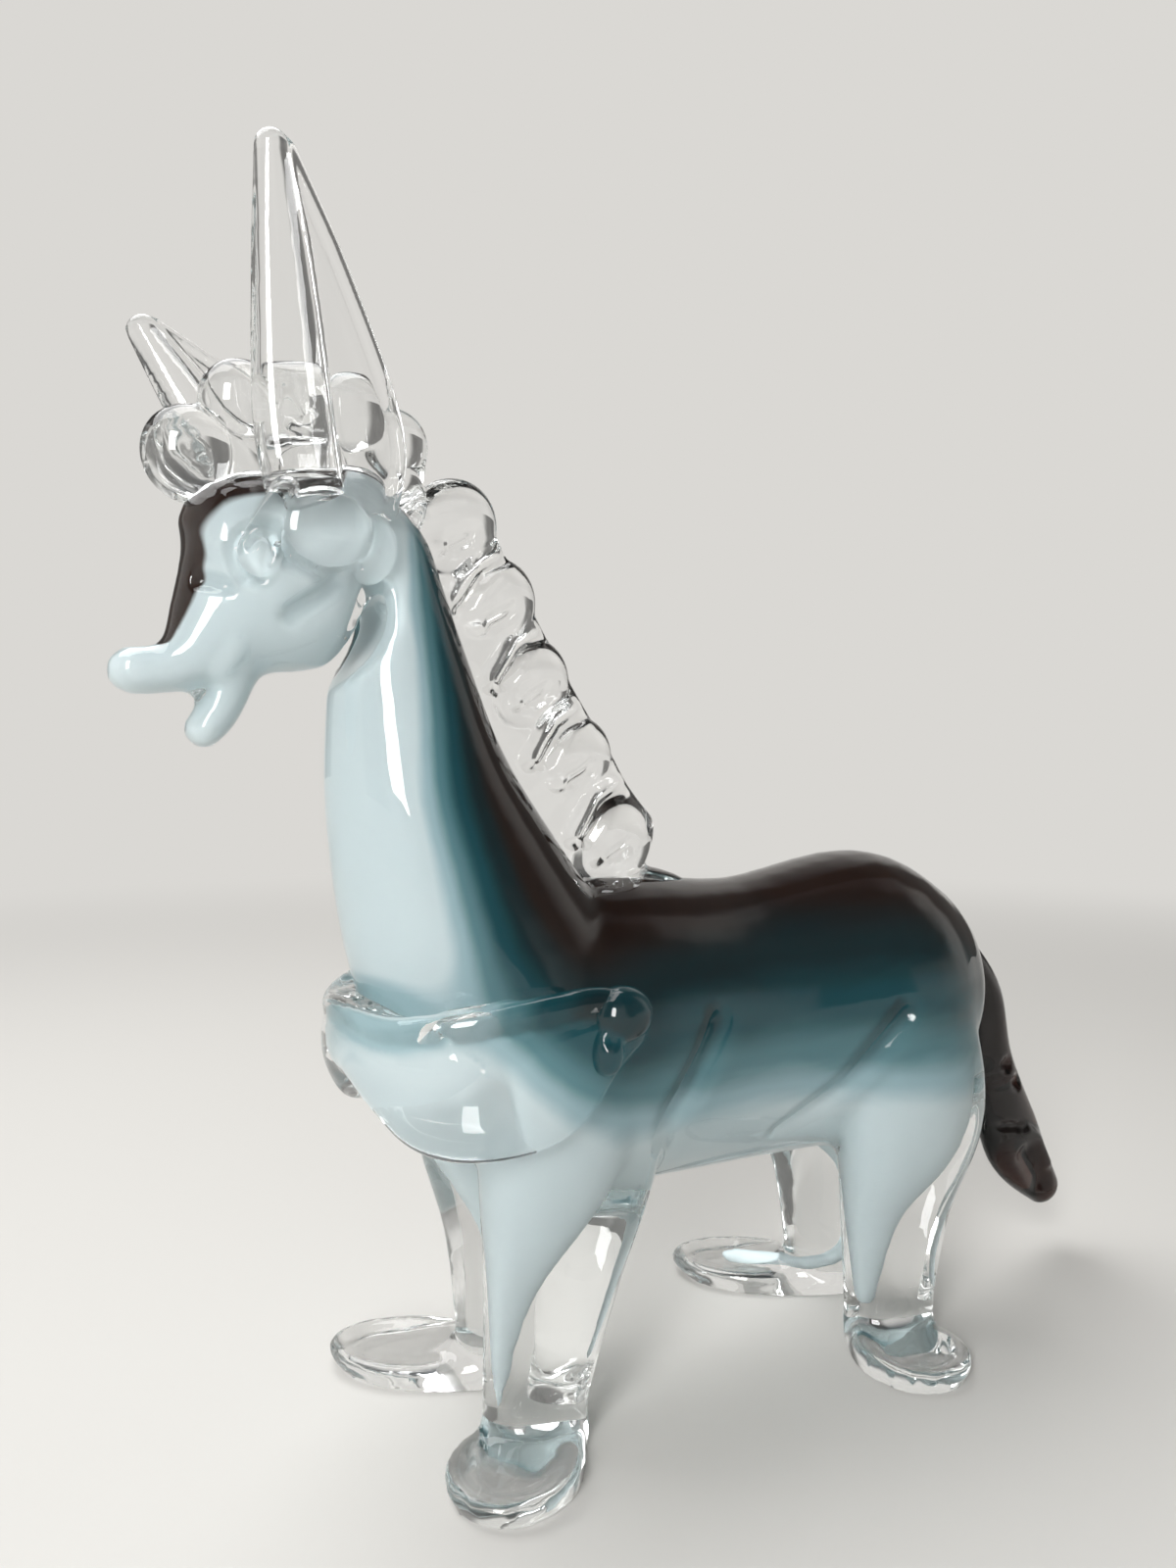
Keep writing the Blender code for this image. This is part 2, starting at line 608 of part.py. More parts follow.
def web(bm, roots, tops, half):
    """A thin wall from a line on the glass up to a line of lobes."""
    strip = []
    for step in range(WEB_STEPS + 1):
        low = share_along(roots, step / WEB_STEPS)
        high = share_along(tops, step / WEB_STEPS)
        reach = (high - low).length / 2 + WEB_PAST
        strip.append(Section(*low.lerp(high, 0.5), reach, half))
    loft(bm, strip, steps=2)


def neck_back():
    """Points down the back of the neck, a little under its skin, on to the withers."""
    run = spread(NECK, 4)
    withers = centre(WITHERS)
    points = []
    for index in range(len(run) - 1, -1, -1):
        _, depth_axis, _ = frame_at(run, index, ACROSS)
        outward = depth_axis if depth_axis.x > 0 else -depth_axis
        point = centre(run[index]) + outward * (run[index].depth - WEB_SINK)
        if point.z > withers.z:
            points.append(point)
    return points + [withers - UP * WEB_SINK]


def mane_mesh():
    """A bit laid down the back of the neck, its outer edge crimped into lobes."""
    bm = bmesh.new()
    first = centre(MANE_FIRST)
    last = centre(MANE_LAST)
    middles = []
    for index in range(MANE_LOBES):
        share = index / (MANE_LOBES - 1)
        middles.append(first.lerp(last, share) + MANE_BOW * math.sin(math.pi * share))
    down = (last - first).normalized()
    outward = Vector((-down.z, 0, down.x))
    span = (last - first).length / (MANE_LOBES - 1) * LOBE_SPAN
    web(bm, neck_back(), [middles[0] - down * MANE_LEAD, *middles[1:]], MANE_WEB)
    for index, middle in enumerate(middles):
        lobe = middle - outward * LOBE_SET_IN + ACROSS * LOBE_SWAY * (-1) ** index
        blob(bm, lobe, (LOBE_REACH, LOBE_SWELL, span), outward - down * LOBE_TILT, LOBE_TURN)
    blob(bm, centre(WITHERS), WITHERS_PAD, WITHERS_SLOPE)
    folds = []
    for above, below in zip(middles, middles[1:]):
        line = [above.lerp(below, along) + outward * LOBE_REACH * out for along, out in FOLD]
        for side in (LEFT, RIGHT):
            sideways = ACROSS * side * MANE_WEB
            folds.append(Mark([point + sideways for point in line], FOLD_REACH, FOLD_DEPTH))
    return melt("mane", bm, BIT_VOXEL, BIT_FLOW, MANE_KEEP, folds)


def forelock_mesh():
    """A short bit of lumps laid over the poll, the first one hanging before the brow."""
    bm = bmesh.new()
    middles = [centre(lump) for lump in FORELOCK]
    web(bm, [centre(BROW), centre(CROWN), centre(NAPE)], middles, FORELOCK_WEB)
    for index, lump in enumerate(FORELOCK):
        lean = Vector((BROW_LEAN + LEAN_STEP * index, 0, 1))
        blob(bm, centre(lump), (lump.depth, lump.width, lump.depth * LUMP_SPAN), lean)
    blob(bm, centre(NAPE_DROP), DROP_SIZE)
    return melt("forelock", bm, BIT_VOXEL, BIT_FLOW, FORELOCK_KEEP)


def ear_mesh(name, side, share, lean, outward):
    """A pulled leaf: a round front rib, a thin web and a fine rear edge, rooted on the head."""
    bm = bmesh.new()
    sections = [mirrored(section, side) for section in (EAR_ROOT, EAR_BASE, EAR_MID, EAR_TIP)]
    root = centre(sections[0])
    loft(bm, [part._replace(width=part.width * EAR_WEB) for part in sections], steps=5)
    loft(bm, [part._replace(x=part.x - part.depth + part.width * rib, depth=part.width * rib)
              for part, rib in zip(sections, EAR_RIB)], sides=14, steps=5)
    loft(bm, [part._replace(x=part.x + part.depth - EAR_EDGE, depth=EAR_EDGE, width=EAR_EDGE)
              for part in sections], sides=12, steps=5)
    bmesh.ops.scale(bm, vec=(1, 1, share), space=Matrix.Translation(-root), verts=bm.verts)
    turn = Matrix.Rotation(math.radians(-outward * side), 3, "X")
    turn = turn @ Matrix.Rotation(math.radians(-lean), 3, "Y")
    bmesh.ops.rotate(bm, cent=root, matrix=turn, verts=bm.verts)
    return melt(name, bm, EAR_VOXEL, BIT_FLOW, EAR_KEEP)


def eye_mesh(name, side):
    """A bead on the side of the head, its tail drawn up toward the ear."""
    bm = bmesh.new()
    blob(bm, centre(mirrored(EYE, side)), (EYE.width, EYE_BULGE, EYE.depth))
    loft(bm, [mirrored(section, side) for section in EYE_TAIL])
    return melt(name, bm, EYE_VOXEL, BIT_FLOW, EYE_KEEP)


def collar_mesh():
    """A crescent wrapped round the chest, its upper edge rolled and a knob folded at each end."""
    bm = bmesh.new()
    band = [mirrored(section, LEFT) for section in COLLAR] + [COLLAR_FRONT, *reversed(COLLAR)]
    loft(bm, band, across=UP)
    lip = []
    for index, section in enumerate(band):
        _, inward, _ = frame_at(band, index, UP)
        edge = centre(section) - inward * COLLAR_FLARE + UP * (section.width - COLLAR_LIP)
        lip.append(Section(*edge, COLLAR_LIP, COLLAR_LIP))
    loft(bm, lip, across=UP, sides=12)
    for end in (band[0], band[-1]):
        blob(bm, centre(end) - UP * KNOB_SINK, COLLAR_KNOB)
    return melt("collar", bm, BIT_VOXEL, BIT_FLOW, COLLAR_KEEP)


def tail_mesh():
    """A tail laid on the rump and drawn out to a paddle."""
    bm = bmesh.new()
    loft(bm, (TAIL_ROOT, TAIL_BEND, TAIL_DROP, TAIL_PADDLE, TAIL_TIP), steps=5)
    return melt("tail", bm, BIT_VOXEL, BIT_FLOW, TAIL_KEEP)


def foot_mesh(leg):
    """A flattened foot: a heel under the leg and a dished tongue with a rolled rim."""
    bm = bmesh.new()
    heel = centre(leg.ankle._replace(z=0))
    splay = math.radians(leg.splay)
    toward = Vector((-math.cos(splay), leg.side * math.sin(splay), 0))
    aside = UP.cross(toward)
    half = FOOT_WIDTH / 2
    loft(bm, (leg.ankle._replace(z=ANKLE_HEIGHT + FOOT_LAP), leg.ankle._replace(z=0)))
    loft(bm, [Section(*(heel + toward * leg.reach * share), height, half * width)
              for share, height, width in TONGUE])
    rim = []
    for step in range(RIM_STEPS + 1):
        turn = math.radians(RIM_SWEEP * (2 * step / RIM_STEPS - 1))
        middle = heel + toward * (leg.reach / 2 + (leg.reach / 2 - FOOT_RIM) * math.cos(turn))
        middle += aside * (half - FOOT_RIM) * math.sin(turn)
        rim.append(Section(*(middle + UP * FOOT_RIM * RIM_HEIGHT), FOOT_RIM, FOOT_RIM))
    loft(bm, rim, across=UP, sides=10, steps=2)
    return melt("foot_" + leg.name, bm, BIT_VOXEL, BIT_FLOW, FOOT_KEEP)


def centre_on_floor():
    """Move every object together so that the origin is the middle of the box, on the floor."""
    graph = bpy.context.evaluated_depsgraph_get()
    corners = []
    for obj in SLOTS["pieces"].objects:
        corners += [Vector(corner) for corner in obj.evaluated_get(graph).bound_box]
    middle = [(min(c[axis] for c in corners) + max(c[axis] for c in corners)) / 2
              for axis in (0, 1)]
    for obj in (*SLOTS["pieces"].objects, *SLOTS["cutters"].objects):
        obj.location = (-middle[0], -middle[1], 0)


def build():
    """Model every piece of the horse."""
    clear_scene()
    SLOTS["pieces"] = new_collection("glass_horse")
    SLOTS["cutters"] = new_collection("cutters")
    clear = glass("clear_glass", (0.80, 0.87, 0.89), 0.03, 1.0)
    opal = glass("opal_glass", (0.46, 0.58, 0.62), 0.20, 0.0)
    smoke = glass("smoke_glass", (0.030, 0.016, 0.010), 0.05, 0.6)

    casing = casing_mesh()
    core = core_mesh()
    ears = {LEFT: ear_mesh("ear_left", LEFT, 1.0, 0, 0),
            RIGHT: ear_mesh("ear_right", RIGHT, RIGHT_EAR_SHARE, RIGHT_EAR_LEAN, RIGHT_EAR_SPREAD)}
    forelock = forelock_mesh()
    casing_seat = cutter("casing_seat", casing.copy(), SEAM)
    core_seat = cutter("core_seat", core.copy(), SEAM)
    trim(core_seat, throat("throat_seat", HEAD_CASING - SEAM))
    eyes = {LEFT: eye_mesh("eye_left", LEFT), RIGHT: eye_mesh("eye_right", RIGHT)}
    eye_seats = {side: cutter("eye_seat", eyes[side].copy(), SEAM) for side in eyes}
    ear_seats = [cutter("ear_seat", ears[side].copy(), SEAM) for side in ears]
    forelock_seat = cutter("forelock_seat", forelock.copy(), SEAM)
    below_ankle = slab("below_ankle", -SLAB, ANKLE_HEIGHT)
    above_ankle = slab("above_ankle", ANKLE_HEIGHT - SEAM, SLAB)
    floor = slab("floor", -SLAB, 0)

    piece("clear_casing", casing, clear, (core_seat, throat("throat", 0), below_ankle))
    piece("opal_core", core, opal, (throat("throat_core", HEAD_CASING), below_ankle))
    piece("ear_left", ears[LEFT], clear, (casing_seat, eye_seats[LEFT]))
    piece("ear_right", ears[RIGHT], clear, (casing_seat, eye_seats[RIGHT]))
    piece("eye_left", eyes[LEFT], clear, (casing_seat,))
    piece("eye_right", eyes[RIGHT], clear, (casing_seat,))
    piece("forelock", forelock, clear, (casing_seat, *ear_seats))
    piece("mane", mane_mesh(), clear, (casing_seat, forelock_seat))
    piece("collar", collar_mesh(), clear, (casing_seat,))
    piece("tail", tail_mesh(), smoke, (casing_seat,))
    for leg in LEGS:
        piece("foot_" + leg.name, foot_mesh(leg), clear, (above_ankle, floor))
    centre_on_floor()


build()
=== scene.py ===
"""Looks of the hot-worked glass horse: an opal core in clear glass, with clear and smoke bits.

Laid out as a Blender add-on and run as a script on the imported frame. Metres, +Z up. The horse faces
-X, its left side is -Y and its soles stand on z = 0.
"""

import math
from collections import namedtuple
from contextlib import contextmanager

import bmesh
import bpy
import numpy as np
from bpy.props import FloatProperty, FloatVectorProperty, IntProperty, PointerProperty
from mathutils import Matrix, Vector
from mathutils.geometry import intersect_point_line


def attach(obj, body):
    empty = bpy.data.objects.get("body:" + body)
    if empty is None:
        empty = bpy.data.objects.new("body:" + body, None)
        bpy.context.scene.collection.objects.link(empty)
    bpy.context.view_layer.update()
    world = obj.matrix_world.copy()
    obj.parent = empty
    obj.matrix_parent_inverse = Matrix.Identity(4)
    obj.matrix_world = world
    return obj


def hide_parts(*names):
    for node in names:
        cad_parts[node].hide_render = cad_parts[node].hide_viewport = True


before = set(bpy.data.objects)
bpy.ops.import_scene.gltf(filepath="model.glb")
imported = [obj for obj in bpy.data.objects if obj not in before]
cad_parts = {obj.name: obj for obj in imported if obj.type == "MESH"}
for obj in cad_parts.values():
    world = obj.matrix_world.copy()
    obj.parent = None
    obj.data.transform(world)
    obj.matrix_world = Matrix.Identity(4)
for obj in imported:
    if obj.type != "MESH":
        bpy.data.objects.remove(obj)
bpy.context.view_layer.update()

bl_info = {
    "name": "Glass horse",
    "version": (1, 0, 0),
    "blender": (4, 5, 0),
    "location": "View3D > Sidebar > Glass horse",
    "description": "Models the hot-worked glass horse round its packed frame",
    "category": "Add Mesh",
}


def linear(code):
    """A linear RGBA colour from an sRGB hex code."""
    channels = [int(code[i:i + 2], 16) / 255 for i in (1, 3, 5)]
    bent = [c / 12.92 if c <= 0.04045 else ((c + 0.055) / 1.055) ** 2.4 for c in channels]
    return (*bent, 1.0)


def length(name, default, description):
    """A length that a user may change."""
    return FloatProperty(name=name, description=description, default=default, min=0.0001, max=0.1,
                         precision=5, unit="LENGTH")


def colour(name, code, description):
    """A colour that a user may change."""
    return FloatVectorProperty(name=name, description=description, default=linear(code), size=4,
                               min=0.0, max=1.0, subtype="COLOR")


class GlassHorseSizes(bpy.types.PropertyGroup):
    """Sizes of the horse's glass."""

    body_wall: length("Body casing", 0.0036, "Clear glass over the opal core of the torso")
    neck_wall: length("Neck casing", 0.0030, "Clear glass over the opal core of the neck")
    head_wall: length("Head casing", 0.0024, "Clear glass over the opal core of the head")
    lip_wall: length("Lip casing", 0.0015, "Clear glass over the opal core of the two lips")
    fuse: length("Fused depth", 0.0006, "How deep an applied bit is fused into the body")
    body_grain: length("Body grain", 0.0014, "Face size of the body and the core")
    collar_grain: length("Collar grain", 0.0010, "Face size of the collar")
    bit_grain: length("Bit grain", 0.0007, "Face size of the applied bits")
    eye_grain: length("Eye grain", 0.0004, "Face size of the eyes")
    mane_lobes: IntProperty(name="Mane lobes", description="Scallops crimped along the mane",
                            default=5, min=2, max=12)


class GlassHorseColours(bpy.types.PropertyGroup):
    """Colours of the glass and of the stage."""

    opal: colour("Opal", "#E1EFF2", "Opal white of the core")
    mist: colour("Mist", "#AAC9D0", "Where the white begins to shade")
    lake: colour("Lake", "#5F8E96", "Where the teal thins out")
    teal: colour("Teal", "#1C535C", "Teal of the flanks")
    deep: colour("Deep teal", "#102D32", "Teal beside the back")
    smoke: colour("Smoke", "#2C1C15", "Smoke brown along the back and down the forehead")
    clear: colour("Clear", "#E4EEEC", "What the clear glass lets through over its depth")
    amber: colour("Tail", "#A87348", "What the smoke tail lets through over its depth")
    sweep: colour("Sweep", "#DAD8D4", "Paper of the floor and background")


class GlassHorseSettings(bpy.types.PropertyGroup):
    """Everything a user may change."""

    sizes: PointerProperty(type=GlassHorseSizes)
    colours: PointerProperty(type=GlassHorseColours)


# A station of a pulled form: centre, half depth and half width
Section = namedtuple("Section", "x y z depth width")
# A tool mark: a line of points, how far to its sides it reaches and how deep it is pressed
Mark = namedtuple("Mark", "line reach depth")
CAP_STEPS = 5
CAP_END = math.radians(84)
SHARP_PAST = math.radians(45)
UP = Vector((0, 0, 1))
ACROSS = Vector((0, 1, 0))
AFT = Vector((1, 0, 0))
LEFT = -1
RIGHT = 1
SET_OFF = Vector((0.0015, 0.0004, 0.0))  # of the horse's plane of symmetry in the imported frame

BARREL = Section(0.0120, 0, 0.0906, 0.0388, 0.0290)
CROUP = Section(0.0590, 0, 0.0940, 0.0415, 0.0345)
RUMP = Section(0.0830, 0, 0.0950, 0.0305, 0.0260)
SHOULDER = Section(-0.0380, 0, 0.0936, 0.0390, 0.0345)
CHEST = Section(-0.0725, 0, 0.0950, 0.0280, 0.0265)
NECK_BASE = Section(-0.0570, 0, 0.1036, 0.0335, 0.0320)
NECK_LOW = Section(-0.0690, 0, 0.1286, 0.0290, 0.0280)
NECK_MID = Section(-0.0785, 0, 0.1556, 0.0225, 0.0225)
NECK_HIGH = Section(-0.0835, 0, 0.1836, 0.0165, 0.0170)
NECK_TOP = Section(-0.0880, 0, 0.2096, 0.0120, 0.0130)
POLL = Section(-0.0980, 0, 0.2156, 0.0145, 0.0120)
CHEEK = Section(-0.1120, 0, 0.2046, 0.0245, 0.0160)
JOWL = Section(-0.1165, 0, 0.1985, 0.0222, 0.0150)
BRIDGE = Section(-0.1235, 0, 0.1916, 0.0140, 0.0115)
NOSE = Section(-0.1334, 0, 0.1826, 0.0060, 0.0078)
UPPER_LIP = Section(-0.1425, 0, 0.1814, 0.0052, 0.0070)
JAW = Section(-0.1229, 0, 0.1766, 0.0047, 0.0068)
LOWER_LIP = Section(-0.1281, 0, 0.1688, 0.0043, 0.0060)
TORSO = (RUMP, CROUP, BARREL, SHOULDER, CHEST)
NECK = (NECK_BASE, NECK_LOW, NECK_MID, NECK_HIGH, NECK_TOP)
FACE = (POLL, CHEEK, JOWL, BRIDGE, NOSE, UPPER_LIP)
CHIN = (CHEEK._replace(depth=JAW.depth, width=JAW.width), JAW, LOWER_LIP)

ANKLE = 0.012
FRONT_TOP = Section(-0.0470, 0.0200, 0.0950, 0.0240, 0.0150)
FRONT_ELBOW = Section(-0.0485, 0.0205, 0.0690, 0.0235, 0.0155)
HIND_TOP = Section(0.0575, 0.0175, 0.0930, 0.0240, 0.0150)
HIND_STIFLE = Section(0.0600, 0.0205, 0.0640, 0.0255, 0.0155)
Leg = namedtuple("Leg", "name side uppers knee ankle reach splay")
LEGS = (
    Leg("front_left", LEFT, (FRONT_TOP, FRONT_ELBOW),
        Section(-0.0520, -0.0185, 0.0400, 0.0178, 0.0125),
        Section(-0.0555, -0.0165, ANKLE, 0.0135, 0.0108), 0.0360, 47.0),
    Leg("front_right", RIGHT, (FRONT_TOP, FRONT_ELBOW),
        Section(-0.0475, 0.0185, 0.0400, 0.0172, 0.0125),
        Section(-0.0485, 0.0180, ANKLE, 0.0130, 0.0108), 0.0475, 34.0),
    Leg("hind_left", LEFT, (HIND_TOP, HIND_STIFLE),
        Section(0.0565, -0.0190, 0.0380, 0.0180, 0.0125),
        Section(0.0545, -0.0185, ANKLE, 0.0140, 0.0108), 0.0350, 67.0),
    Leg("hind_right", RIGHT, (HIND_TOP, HIND_STIFLE),
        Section(0.0615, 0.0185, 0.0380, 0.0172, 0.0125),
        Section(0.0610, 0.0170, ANKLE, 0.0132, 0.0108), 0.0475, 38.0),
)
FOOT_HALF = 0.0155
# Sections of a foot, heel to toe: share of its reach, half height and share of its half width
FOOT_SHAPE = ((0.0, 0.0100, 0.80), (0.32, 0.0076, 0.98), (0.60, 0.0046, 0.94), (0.80, 0.0046, 0.62))
FOOT_RIM = 0.0026
RIM_LIFT = 1.5
RIM_SWEEP = 115.0
RIM_STEPS = 12
SOLE_EDGE = 0.0025
SOLE_FLAT = 0.0004
SOLE_STROKES = 4

# Opal strands drawn down the legs: share of the leg's half depth and how far forward, at the two
# uppers, the knee and the ankle
STRANDS = {
    "front_left": ((0.83, 0.0), (0.64, 0.24), (0.31, 0.56), (0.11, 0.62)),
    "front_right": ((0.83, 0.0), (0.75, 0.05), (0.36, 0.05), (0.12, 0.05)),
    "hind_left": ((0.83, 0.0), (0.70, 0.14), (0.42, 0.45), (0.20, 0.56)),
    "hind_right": ((0.83, 0.0), (0.72, -0.05), (0.28, -0.37), (0.22, -0.42)),
}
# The last of the opal, drawn from the hind right ankle into the foot: forward, out and radius
SWIRL = ((0.0060, 0.0020, 0.0026), (0.0170, 0.0085, 0.0030), (0.0245, 0.0170, 0.0024))
SWIRL_HEIGHT = 0.0060

# Creases between the barrel and the legs, on the right flank, in the clear glass and in the core
SHOULDER_CREASE = ((-0.0125, 0.0310, 0.0985), (-0.0218, 0.0325, 0.0842), (-0.0300, 0.0325, 0.0707))
HAUNCH_CREASE = ((0.0473, 0.0340, 0.0940), (0.0303, 0.0305, 0.0760), (0.0140, 0.0230, 0.0640))
CREASES = [Mark(line, 0.0038, 0.0034) for line in (SHOULDER_CREASE, HAUNCH_CREASE)]
CORE_CREASES = [Mark(line, 0.0050, 0.0042) for line in (SHOULDER_CREASE, HAUNCH_CREASE)]

# Slot between cheek and neck, top to bottom, in the plane of symmetry
THROAT = ((-0.0912, 0.2000, 0.0014), (-0.0925, 0.1935, 0.0029), (-0.0962, 0.1860, 0.0026),
          (-0.1035, 0.1770, 0.0020))
THROAT_HALF = 0.030

# Tool marks on the right of the face: brow, cheek and the ridge behind the mouth
FACE_MARKS = (
    Mark(((-0.1306, 0.0085, 0.2005), (-0.1250, 0.0110, 0.1993)), 0.0034, 0.0020),
    Mark(((-0.1119, 0.0150, 0.1937), (-0.1012, 0.0140, 0.2013)), 0.0040, 0.0025),
    Mark(((-0.1224, 0.0086, 0.1880), (-0.1255, 0.0078, 0.1804)), 0.0034, -0.0016),
)
# A line across the forehead, where it was paddled flat
FOREHEAD = Mark(((-0.1342, -0.0085, 0.2144), (-0.1342, 0.0085, 0.2144)), 0.0085, 0.0020)
PADDLE_REACH = 0.0095
PADDLE_STROKES = 60
CORE_STROKES = 80

# Mane: first and last lobe in the plane of symmetry, and how far the row bows toward the neck
MANE_FIRST = Vector((-0.0669, 0, 0.2190))
MANE_LAST = Vector((-0.0235, 0, 0.1429))
MANE_BOW = Vector((-0.0018, 0, 0.0010))
WEB_PAST = 0.0060
WEB_STEPS = 8
MANE_WEB = 0.0060
MANE_LOBE = Vector((0.0132, 0.0070, 0.0122))
MANE_SET_IN = 0.0036
MANE_SWAY = 0.0010
MANE_YAW = 14.0
MANE_TILT = 0.12
MANE_RISE = 0.0040
# A crimp between two lobes, from its notch inward: share of the way down to the next lobe, and how
# far out in lobe lengths
CRIMP_LINE = ((0.50, 0.7), (0.52, -0.1), (0.74, -0.8))
# Where the dent in a lobe lies: how far down, and how far in at its two ends
DENT_DROP = 0.0026
DENT_SPAN = (0.0070, 0.0005)
# Reach and depth of the crimps and dents
CRIMP = (0.0038, 0.0024)
CRIMP_EDGE = (0.0028, 0.0018)
LOBE_DENT = (0.0034, 0.0020)
ROOT_DEPTH = 0.0020
WITHERS = Vector((-0.0180, 0, 0.1310))
WITHERS_SIZE = Vector((0.0165, 0.0062, 0.0036))
WITHERS_WAY = Vector((0.98, 0, -0.18))

# Forelock lobes, brow to nape, in the plane of symmetry: centre and radius
FORELOCK = (
    (Vector((-0.1300, 0.0000, 0.2280)), 0.0108),
    (Vector((-0.1195, -0.0015, 0.2398)), 0.0098),
    (Vector((-0.1075, 0.0010, 0.2400)), 0.0100),
    (Vector((-0.0960, -0.0010, 0.2395)), 0.0104),
    (Vector((-0.0850, 0.0010, 0.2350)), 0.0096),
)
FORELOCK_WEB = 0.0062
# How the lobes lean, the first and each next one, and their width and thickness in radii
LEAN_FIRST = -0.6
LEAN_STEP = 0.3
LOCK_WIDTH = 0.86
LOCK_THICK = 0.95
BROW = Vector((-0.1230, 0, 0.2190))
CROWN = Vector((-0.0980, 0, 0.2250))
NAPE = Vector((-0.0820, 0, 0.2190))
NAPE_DROP = (Vector((-0.0823, -0.0050, 0.2215)), Vector((0.0042, 0.0038, 0.0075)))

# Left ear, root to tip; the right one is shorter and leans forward and outward
EAR = (
    Section(-0.1020, 0.0120, 0.2176, 0.0145, 0.0062),
    Section(-0.1030, 0.0125, 0.2350, 0.0168, 0.0060),
    Section(-0.1085, 0.0130, 0.2640, 0.0115, 0.0048),
    Section(-0.1150, 0.0140, 0.2910, 0.0044, 0.0038),
)
EAR_EDGE = 0.0021
EAR_WEB = 0.34
RIGHT_EAR_SHARE = 0.77
RIGHT_EAR_LEAN = 22.0
RIGHT_EAR_SPREAD = 16.0
EAR_RIB = (1.35, 1.45, 1.40, 1.00)
# Pads where the ears' roots were pressed into the sides of the head
EAR_PADS = (
    (Vector((-0.1048, 0.0136, 0.2118)), Vector((0.0108, 0.0058, 0.0094))),
    (Vector((-0.0935, 0.0100, 0.2090)), Vector((0.0068, 0.0052, 0.0085))),
)
PAD_SEAM = ((-0.1156, 0.0150, 0.2118), (-0.1124, 0.0154, 0.2052), (-0.1048, 0.0152, 0.2024),
            (-0.0972, 0.0140, 0.2052), (-0.0940, 0.0125, 0.2118))
# The head, which has finer faces, lies before and above these
HEAD_BACK = -0.092
HEAD_FOOT = 0.184

EYE = Vector((-0.1190, 0.0142, 0.2058))
EYE_SIZE = Vector((0.0052, 0.0038, 0.0056))
EYE_TAIL = (
    Section(-0.1180, 0.0142, 0.2090, 0.0046, 0.0036),
    Section(-0.1160, 0.0138, 0.2145, 0.0034, 0.0032),
    Section(-0.1125, 0.0128, 0.2205, 0.0026, 0.0030),
)

# Collar, left half from its folded end to the front of the chest, each with its way out
COLLAR = (
    (Section(-0.0450, -0.0365, 0.1030, 0.0070, 0.0080), Vector((0.2, -1, 0))),
    (Section(-0.0530, -0.0360, 0.0998, 0.0062, 0.0126), Vector((0, -1, 0))),
    (Section(-0.0640, -0.0345, 0.0940, 0.0060, 0.0172), Vector((-0.1, -1, 0))),
    (Section(-0.0760, -0.0315, 0.0920, 0.0062, 0.0174), Vector((-0.3, -1, 0))),
    (Section(-0.0850, -0.0250, 0.0916, 0.0066, 0.0160), Vector((-0.6, -0.8, 0))),
    (Section(-0.0905, -0.0160, 0.0940, 0.0070, 0.0122), Vector((-0.85, -0.5, 0))),
    (Section(-0.0930, 0.0000, 0.0980, 0.0074, 0.0096), Vector((-1, 0, 0))),
)
COLLAR_LIP = 0.0034
COLLAR_FLARE = 0.0034
# The folded end on the right: a round lobe, and a small one hanging below it
COLLAR_KNOB = (
    (Vector((-0.0462, 0.0405, 0.1058)), Vector((0.0074, 0.0066, 0.0064))),
    (Vector((-0.0508, 0.0415, 0.0984)), Vector((0.0038, 0.0052, 0.0058))),
)
KNOB_PINCHES = (Mark(((-0.0560, 0.0460, 0.1040), (-0.0520, 0.0470, 0.1022)), 0.0030, 0.0018),)
COLLAR_FOLDS = (
    Mark(((-0.0857, 0.0318, 0.1054), (-0.0843, 0.0345, 0.1017), (-0.0791, 0.0375, 0.0969)),
         0.0016, 0.0013),
)

TAIL = (
    Section(0.0900, 0, 0.1096, 0.0065, 0.0070),
    Section(0.1085, 0, 0.0896, 0.0070, 0.0065),
    Section(0.1145, 0, 0.0656, 0.0080, 0.0060),
    Section(0.1250, 0, 0.0386, 0.0115, 0.0055),
    Section(0.1400, 0, 0.0196, 0.0060, 0.0048),
)
# Marks of the pincers on the tail: nicks across its outer edge, and on its right a fold above the
# paddle, a rolled rim and a dent
TAIL_NICKS = (
    Mark(((0.1160, -0.0060, 0.0650), (0.1160, 0.0060, 0.0640)), 0.0036, 0.0020),
    Mark(((0.1213, -0.0060, 0.0585), (0.1213, 0.0060, 0.0580)), 0.0036, 0.0020),
)
TAIL_MARKS = (
    Mark(((0.1085, 0.0050, 0.0475), (0.1127, 0.0055, 0.0452), (0.1193, 0.0055, 0.0449),
          (0.1239, 0.0050, 0.0435)), 0.0026, 0.0013),
    Mark(((0.1239, 0.0050, 0.0435), (0.1321, 0.0048, 0.0389), (0.1369, 0.0045, 0.0301)),
         0.0030, -0.0011),
    Mark(((0.1263, 0.0055, 0.0335), (0.1333, 0.0050, 0.0243)), 0.0058, 0.0022),
)

# The camera that took the photograph
EYE_POINT = Vector((-0.1773, -0.2639, 0.1646))
LENS = 27.0
LOOK_DOWN = 1.67
LOOK_ROUND = 29.0

# Soft lamps: place, target, width and height, and power
LAMPS = {
    "window": ((-0.95, -0.85, 0.62), (0.0, 0.0, 0.12), (0.36, 0.85), 17.0),
    "overhead": ((-0.30, 0.45, 1.20), (0.0, 0.0, 0.10), (1.20, 0.90), 12.0),
}
FLOOR_RADIUS = 6.0
FLOOR_DROP = 0.0004
PANELS = 4
PANEL_DIM = 0.22
SCREEN_ROUND = 146.0
SCREEN_FOOT = 0.30
CEILING = "#565A5E"


def centre(section):
    """Centre of a section as a vector."""
    return Vector(section[:3])


